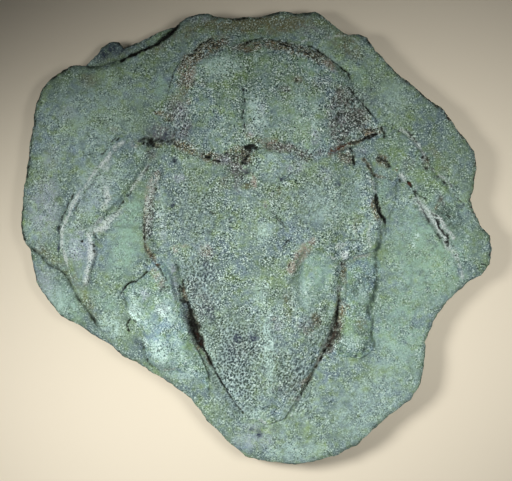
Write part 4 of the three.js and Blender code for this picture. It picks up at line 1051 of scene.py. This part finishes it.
def add_wall(bm, rings):
    """Drops a wall from the rim, each ring 1 lower than the last, and closes it below."""
    rim = [edge for edge in bm.edges if edge.is_boundary]
    for _ in range(rings):
        made = bmesh.ops.extrude_edge_only(bm, edges=rim)["geom"]
        fresh = [part for part in made if isinstance(part, bmesh.types.BMVert)]
        bmesh.ops.translate(bm, vec=(0, 0, -1), verts=fresh)
        rim = [part for part in made if isinstance(part, bmesh.types.BMEdge) and part.is_boundary]
    bmesh.ops.holes_fill(bm, edges=rim, sides=0)
    bmesh.ops.recalc_face_normals(bm, faces=bm.faces)


def outward(x, y, outline):
    """The direction out of an outline at each point, rounded over its corners."""
    reach = 2.5
    east = depth_inside(x - reach, y, outline) - depth_inside(x + reach, y, outline)
    north = depth_inside(x, y - reach, outline) - depth_inside(x, y + reach, outline)
    length = np.maximum(np.hypot(east, north), 1e-6)
    return east / length, north / length


def broken_wall(x, y, z):
    """How far a broken wall stands out."""
    return sum(height * np.array([wander.noise(Vector(spot)) for spot in zip(
        x / level, y / level, z / upright)]) for height, level, upright in WALL_RELIEF)


def finished(name, bm, outline, surface, underside, backs, ragged, broken):
    """Turns a bmesh into a piece: its surface, its walls down to the underside, its tones."""
    mesh = bpy.data.meshes.new(name)
    bm.to_mesh(mesh)
    bm.free()
    spots = np.empty(len(mesh.vertices) * 3)
    mesh.vertices.foreach_get("co", spots)
    x, y, z = spots.reshape(-1, 3).T
    ring = -z
    tones = painted(x, y)
    top = surface(x, y, tones)
    z = top + (underside - top) * ring / ring.max()
    east, north = outward(x, y, outline)
    away = ragged * layered(x + ring, y - ring, RIM_SCARS) \
        * (1 - ease(0, RAGGED_DEPTH, depth_inside(x, y, outline)))
    heights, steps = zip(*backs[::-1])
    away -= np.interp(z, heights, steps) * (ring > 0)
    if broken:
        away += WALL_BULGE * (ring > 0) + broken_wall(x, y, z) * ease(*BREAK_BEGINS, ring)
    spots = np.stack([x + east * away, y + north * away, z], axis=-1) * MM
    mesh.vertices.foreach_set("co", spots.ravel())
    tones = {tone: strength * (1 - ease(*STAINS_END, ring)) for tone, strength in tones.items()}
    tones["wall"] = ease(*WALL_BEGINS, ring)
    for tone, strength in tones.items():
        layer = mesh.attributes.new(name=tone, type="FLOAT", domain="POINT")
        layer.data.foreach_set("value", strength.astype(np.float32))
    mesh.shade_smooth()
    piece = bpy.data.objects.new(name, mesh)
    bpy.context.scene.collection.objects.link(piece)
    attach(piece, "root")
    return piece


def bone(name, outline, cell, surface):
    bm = grid_over(outline, cell)
    trim(bm, outline)
    fit_rim(bm, outline)
    add_wall(bm, WALL_RINGS["bone"])
    return finished(name, bm, outline, surface, BONE_UNDERSIDE, BONE_BACKS, BONE_RAGGED, False)


def bed(name, outline, rings, fine_at, surface, underside, backs):
    bm = grid_over(outline, STONE_CELL)
    trim(bm, outline, margin=STONE_CELL)
    wanted = fine_at(*face_middles(bm))
    edges = dict.fromkeys(edge for face, fine in zip(bm.faces, wanted) if fine
                          for edge in face.edges)
    bmesh.ops.subdivide_edges(bm, edges=list(edges), cuts=STONE_CUTS, use_grid_fill=True)
    trim(bm, outline)
    fit_rim(bm, outline)
    add_wall(bm, rings)
    return finished(name, bm, outline, surface, underside, backs, BED_RAGGED, True)


def upper_fine(x, y):
    return bone_depth(x, y) < FINE_PAST_BONES


def lower_fine(x, y):
    return np.minimum(depth_inside(x, y, LOWER_BED_OUTLINE),
                      depth_inside(x, y, UPPER_BED_OUTLINE)) < FINE_NEAR_RIM


def linear(hex_colour):
    """An sRGB hex colour as linear RGBA."""
    channels = [int(hex_colour[i:i + 2], 16) / 255 for i in (1, 3, 5)]
    return (*(c / 12.92 if c <= 0.04045 else ((c + 0.055) / 1.055) ** 2.4 for c in channels), 1)


def add(tree, kind, inputs=None, **settings):
    """Adds a node with its settings. An input is a value or another node's output."""
    node = tree.nodes.new(kind)
    for setting, value in settings.items():
        setattr(node, setting, value)
    for key, value in (inputs or {}).items():
        if isinstance(value, bpy.types.NodeSocket):
            tree.links.new(value, node.inputs[key])
        else:
            node.inputs[key].default_value = value
    return node


# The clouds of noise that break the surfaces up: the size of the largest lumps in millimetres,
# the detail, its strength, and how far the lumps stretch along the beds. The silt itself is
# finer than 0.06 mm, so the grain and flecks are drawn some ten times coarser, just so coarse
# that they show.
CLOUDS = {
    "blotches": (26, 4, 0.6, 1),
    "mottles": (4.5, 4, 0.65, 1),
    "broad hue": (16, 2, 0.5, 1),
    "small hue": (2.8, 2, 0.5, 1),
    "grain": (0.9, 2, 0.7, 1),
    "flecks": (0.62, 1, 0.5, 1),
    "laminae": (1, 3, 0.6, 16),
}
# How far each cloud's pattern is shifted against the one before, in metres.
CLOUD_SHIFT = 0.3

# Between which values of the grain a grainy coat grows to its full strength; stains and painted
# shade alike.
STAIN_GRAIN = (0.35, 0.6)


def grainy_coat(paint, least, tone=None):
    """A coat that the grain breaks up, bounded by the tone of its own name or another one. Stains
    and painted shade are both laid with it.
    """
    return (paint, "grain", *STAIN_GRAIN, least, 1, "MIX", tone or paint)


# The coats in the order that they lie over each other: the paint, the cloud or tone that spreads
# it, between which two of its values the coat grows from the first strength to the second, how
# it mixes, and the tone that bounds it.
COATS = [
    ("pale", "blotches", 0.36, 0.64, 0, 1, "MIX", None),
    ("dull", "mottles", 0.4, 0.62, 0, 0.9, "MIX", None),
    ("soot", "laminae", 0.4, 0.65, 0.1, 0.7, "MIX", "wall"),
    ("yellow haze", "broad hue", 0.5, 0.7, 0, 0.8, "MULTIPLY", None),
    ("violet haze", "broad hue", 0.5, 0.3, 0, 0.9, "MULTIPLY", None),
    ("yellow haze", "small hue", 0.5, 0.7, 0, 1, "MULTIPLY", None),
    ("violet haze", "small hue", 0.5, 0.3, 0, 1, "MULTIPLY", None),
    grainy_coat("green", 0.7),
    grainy_coat("shade", 0.8, "dusky"),
    grainy_coat("olive", 0.6),
    grainy_coat("net", 0.5),
    grainy_coat("chalk", 0.5, "pale"),
    grainy_coat("brown", 0.4),
    grainy_coat("plum", 0.4),
    grainy_coat("lilac", 0.4),
    grainy_coat("pink", 0.4),
    ("cream", "flecks", 0.38, 0.6, 0.35, 1, "MIX", "cream"),
    # Pale grains, and glints of mica painted into the colour as bright specks.
    ("fleck_and_glint", "flecks", 0.56, 0.72, 0, 1, "MIX", "speckled"),
    ("soot", "flecks", 0.45, 0.32, 0, 0.9, "MIX", "speckled"),
    grainy_coat("shade", 0.8, "furrow_shade"),
    # Painted shade: the pits darkened almost to black.
    grainy_coat("pit", 0.9),
    grainy_coat("ink_and_shadow", 0.5),
    ("crust", "flecks", 0.4, 0.56, 0, 1, "MIX", "crust"),
    # Painted shade in cracks and holes: an olive-dark edge, a black core, and black in the open
    # gapes.
    ("crack edge", "dark", 0.15, 0.6, 0, 0.75, "MIX", None),
    ("crack depth", "grain", 0.35, 0.62, 0.35, 1, "MIX", "deep"),
    grainy_coat("crack depth", 0.75, "gape"),
    ("rust", "grain", 0.38, 0.6, 0.2, 1, "MIX", "rust"),
]

# The coats' colours: lime makes the chalk and the crusts, iron the brown and the rust, carbon the
# rest of the ink. Painted shade: the shade colour in furrows and along the rims, which also darkens
# patches elsewhere; the near-black of the pits; the black in the cracks and holes; and the ink
# where it stands for the shadow beside the tail's left crack.
STAIN_AND_SHADE_COLOURS = {
    "yellow haze": "#fafbca", "violet haze": "#e8e7ff", "green": "#8fb09c", "olive": "#6a6642",
    "net": "#a5bbb7", "chalk": "#b6d3c9", "brown": "#82704e", "plum": "#706d6f",
    "lilac": "#a4acb8", "ink_and_shadow": "#2c3446", "shade": "#3f5044", "pink": "#a4988a",
    "rust": "#4c2817", "cream": "#cad3cf", "pit": "#0c1d1c", "crust": "#dcf4ec",
    "crack edge": "#3d463c", "crack depth": "#090806",
}
TONES = [*MARKS, "wall", "pit", "net", "deep", "speckled"]

# The sockets of a colour mix.
FACTOR, UNDER, OVER, MIXED = 0, 6, 7, 2

# Quartz silt and bone mineral bend light alike. Dust and fine pores take most of the glint away.
MINERAL_IOR = 1.54
DULLED_GLINT = 0.15
GRAIN_STRENGTH = 0.8
GRAIN_HEIGHT = 0.3


def mineral(name, finish, roughness):
    """A fine-grained mineral surface that carries all the coats."""
    material = bpy.data.materials.new(name)
    material.use_nodes = True
    tree = material.node_tree
    paints = {**STAIN_AND_SHADE_COLOURS, **finish}
    place = add(tree, "ShaderNodeTexCoord").outputs["Object"]
    spread = {}
    for number, (cloud, (size, detail, strength, stretch)) in enumerate(CLOUDS.items()):
        spot = add(tree, "ShaderNodeMapping", {
            "Vector": place, "Location": (CLOUD_SHIFT * number, 0, 0),
            "Scale": (1 / stretch, 1 / stretch, 1)})
        noise = add(tree, "ShaderNodeTexNoise", {
            "Vector": spot.outputs["Vector"], "Scale": 1 / MM / size, "Detail": detail,
            "Roughness": strength})
        spread[cloud] = noise.outputs["Fac"]
    for tone in TONES:
        spread[tone] = add(tree, "ShaderNodeAttribute", attribute_name=tone).outputs["Fac"]
    colour = linear(paints["dull"])
    for paint, spreader, low, high, least, most, way, bound in COATS:
        amount = add(tree, "ShaderNodeMapRange", {
            "Value": spread[spreader], "From Min": low, "From Max": high, "To Min": least,
            "To Max": most}).outputs["Result"]
        if bound:
            amount = add(tree, "ShaderNodeMath", {0: amount, 1: spread[bound]},
                         operation="MULTIPLY").outputs["Value"]
        colour = add(tree, "ShaderNodeMix", {
            FACTOR: amount, UNDER: colour, OVER: linear(paints[paint])},
            data_type="RGBA", blend_type=way).outputs[MIXED]
    relief = add(tree, "ShaderNodeBump", {
        "Height": spread["grain"], "Strength": GRAIN_STRENGTH, "Distance": GRAIN_HEIGHT * MM})
    shader = tree.nodes["Principled BSDF"]
    tree.links.new(colour, shader.inputs["Base Color"])
    tree.links.new(relief.outputs["Normal"], shader.inputs["Normal"])
    shader.inputs["Roughness"].default_value = roughness
    shader.inputs["IOR"].default_value = MINERAL_IOR
    shader.inputs["Specular IOR Level"].default_value = DULLED_GLINT
    return material


# Siltstone, grey-green, split along its bedding: fine silt pressed to rock and opened with a blow.
# The eye sees a dull, even face, mottled blue and olive, with pale flecks, partly pale grains and
# partly painted glints of mica.
siltstone = mineral("split grey-green siltstone", {
    "dull": "#687d72", "pale": "#92ab9e", "fleck_and_glint": "#c2d6ca", "soot": "#37483f"}, 0.82)

# Bone turned to mineral, weathered: the head's roof lay bare longest. The eye sees a slightly
# shinier skin, finely broken, with black in every hollow.
head_bone = mineral("mineralised bone, weathered brown-grey", {
    "dull": "#6e867c", "pale": "#90aca2", "fleck_and_glint": "#d8e8e0", "soot": "#142420"}, 0.68)

# Bone turned to mineral, cast against the silt: the trunk keeps the net of ridges and pits that
# the living bone had. The eye sees a blue-green skin, peppered with dark dots.
trunk_bone = mineral("mineralised bone, grey-green and pitted", {
    "dull": "#6e847a", "pale": "#95afa3", "fleck_and_glint": "#d4e6dc", "soot": "#1e3029"}, 0.68)

# Bone turned to mineral, rubbed and crusted with lime: the side walls. The eye sees a pale
# surface with white crusts.
side_bone = mineral("mineralised bone, pale and rubbed", {
    "dull": "#748e88", "pale": "#93b3aa", "fleck_and_glint": "#d6eae2", "soot": "#2c3c38"}, 0.7)

# Thin bone turned to mineral, still half under a film of silt: the fins. The eye sees stone,
# with pale and black lines where the bone comes through.
fin_bone = mineral("thin mineralised bone, half hidden in stone", {
    "dull": "#6e857b", "pale": "#90aba2", "fleck_and_glint": "#cce0d6", "soot": "#2c3c36"}, 0.75)


def dress(piece, material, node):
    piece.data.materials.append(material)
    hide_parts(node)


dress(bed("upper_bed", UPPER_BED_OUTLINE, WALL_RINGS["upper"], upper_fine, stone_surface,
          UPPER_BED_UNDERSIDE, UPPER_BACKS), siltstone, "matrix_slab")
dress(bed("lower_bed", LOWER_BED_OUTLINE, WALL_RINGS["lower"], lower_fine, lower_surface,
          0, LOWER_BACKS), siltstone, "matrix_slab")

BONE_MATERIALS = {
    "head_bone": head_bone, "trunk_bone": trunk_bone, "side_bone": side_bone,
    "fin_bone": fin_bone,
}

# Each bone: its node, the piece's name, its outline, base and forms, the height of its lip, the
# strength of its scars, and its slot.
BONES = [
    ("head_shield", "head_roof", HEAD_OUTLINE, head_base, HEAD_FORMS, BONE_LIP, 1, "head_bone"),
    ("trunk_shield", "trunk_roof", TRUNK_OUTLINE, trunk_base, TRUNK_FORMS, BONE_LIP, 1,
     "trunk_bone"),
    ("left_side_plate", "left_side_wall", LEFT_SIDE_OUTLINE, rounded_base(2, 5),
     LEFT_SIDE_FORMS, 0.8, 1.2, "side_bone"),
    ("right_side_plate", "right_side_wall", RIGHT_SIDE_OUTLINE, rounded_base(1.6, 5),
     RIGHT_SIDE_FORMS, 0.8, 1, "side_bone"),
    *((fin, f"{fin}_bone", outline, rounded_base(rise, 3), forms, lip, 0.8, "fin_bone")
      for fin, outline, forms, rise, lip in [
          ("left_fin_upper", LEFT_FIN_UPPER_OUTLINE, LEFT_FIN_UPPER_FORMS, 0.4, 0.5),
          ("left_fin_lower", LEFT_FIN_LOWER_OUTLINE, LEFT_FIN_LOWER_FORMS, 0.4, 0.5),
          ("right_fin_upper", RIGHT_FIN_UPPER_OUTLINE, RIGHT_FIN_UPPER_FORMS, 0.5, 0.6),
          ("right_fin_lower", RIGHT_FIN_LOWER_OUTLINE, RIGHT_FIN_LOWER_FORMS, 0.4, 0.5)]),
]
for node, name, outline, base, forms, lip, scarred, slot in BONES:
    cell = SHIELD_CELL if node.endswith("shield") else PLATE_CELL
    dress(bone(name, outline, cell, bone_surface(outline, base, forms, lip, scarred)),
          BONE_MATERIALS[slot], node)


FLOOR_HALF_WIDTH = 3
LENS_MM = 85
SENSOR_MM = 36


def plain(name, colour, roughness):
    material = bpy.data.materials.new(name)
    material.use_nodes = True
    shader = material.node_tree.nodes["Principled BSDF"]
    shader.inputs["Base Color"].default_value = linear(colour)
    shader.inputs["Roughness"].default_value = roughness
    return material


def add_floor():
    bm = bmesh.new()
    bmesh.ops.create_grid(bm, x_segments=1, y_segments=1, size=FLOOR_HALF_WIDTH)
    mesh = bpy.data.meshes.new("floor")
    bm.to_mesh(mesh)
    bm.free()
    floor = bpy.data.objects.new("floor", mesh)
    mesh.materials.append(plain("matt pale board", "#ddd2bc", 0.9))
    bpy.context.scene.collection.objects.link(floor)


def aim(thing, target):
    direction = Vector(target) - thing.location
    thing.rotation_euler = direction.to_track_quat("-Z", "Y").to_euler()


def add_light(name, place, target, size, beam, watts):
    light = bpy.data.lights.new(name, "AREA")
    light.shape = "DISK"
    light.size = size
    light.spread = math.radians(beam)
    light.energy = watts
    lamp = bpy.data.objects.new(name, light)
    lamp.location = place
    aim(lamp, target)
    bpy.context.scene.collection.objects.link(lamp)


def add_camera():
    """Straight above, so that the photograph's width spans the same stretch of the split face."""
    width = PHOTO_WIDTH * MM_PER_PIXEL * MM
    across = (PHOTO_WIDTH / 2 - ORIGIN_PIXEL[0]) * MM_PER_PIXEL * MM
    down = (ORIGIN_PIXEL[1] - PHOTO_HEIGHT / 2) * MM_PER_PIXEL * MM
    data = bpy.data.cameras.new("camera")
    data.lens = LENS_MM
    data.sensor_width = SENSOR_MM
    camera = bpy.data.objects.new("camera", data)
    camera.location = (across, down, SLAB_TOP * MM + width * LENS_MM / SENSOR_MM)
    bpy.context.scene.collection.objects.link(camera)
    bpy.context.scene.camera = camera


def add_sky(colour, strength):
    world = bpy.data.worlds.new("soft room light")
    world.use_nodes = True
    background = world.node_tree.nodes["Background"]
    background.inputs["Color"].default_value = linear(colour)
    background.inputs["Strength"].default_value = strength
    bpy.context.scene.world = world


add_floor()
add_camera()
add_light("left_lamp", place=(-0.196, 0.005, 0.32), target=(-0.035, -0.106, 0.01), size=0.12,
          beam=74, watts=0.263)
add_light("right_lamp", place=(0.193, -0.005, 0.46), target=(0.088, -0.02, 0.01), size=0.185,
          beam=48, watts=0.132)
add_sky("#e9eef2", strength=0.05)
bpy.context.scene.view_settings.view_transform = "Standard"
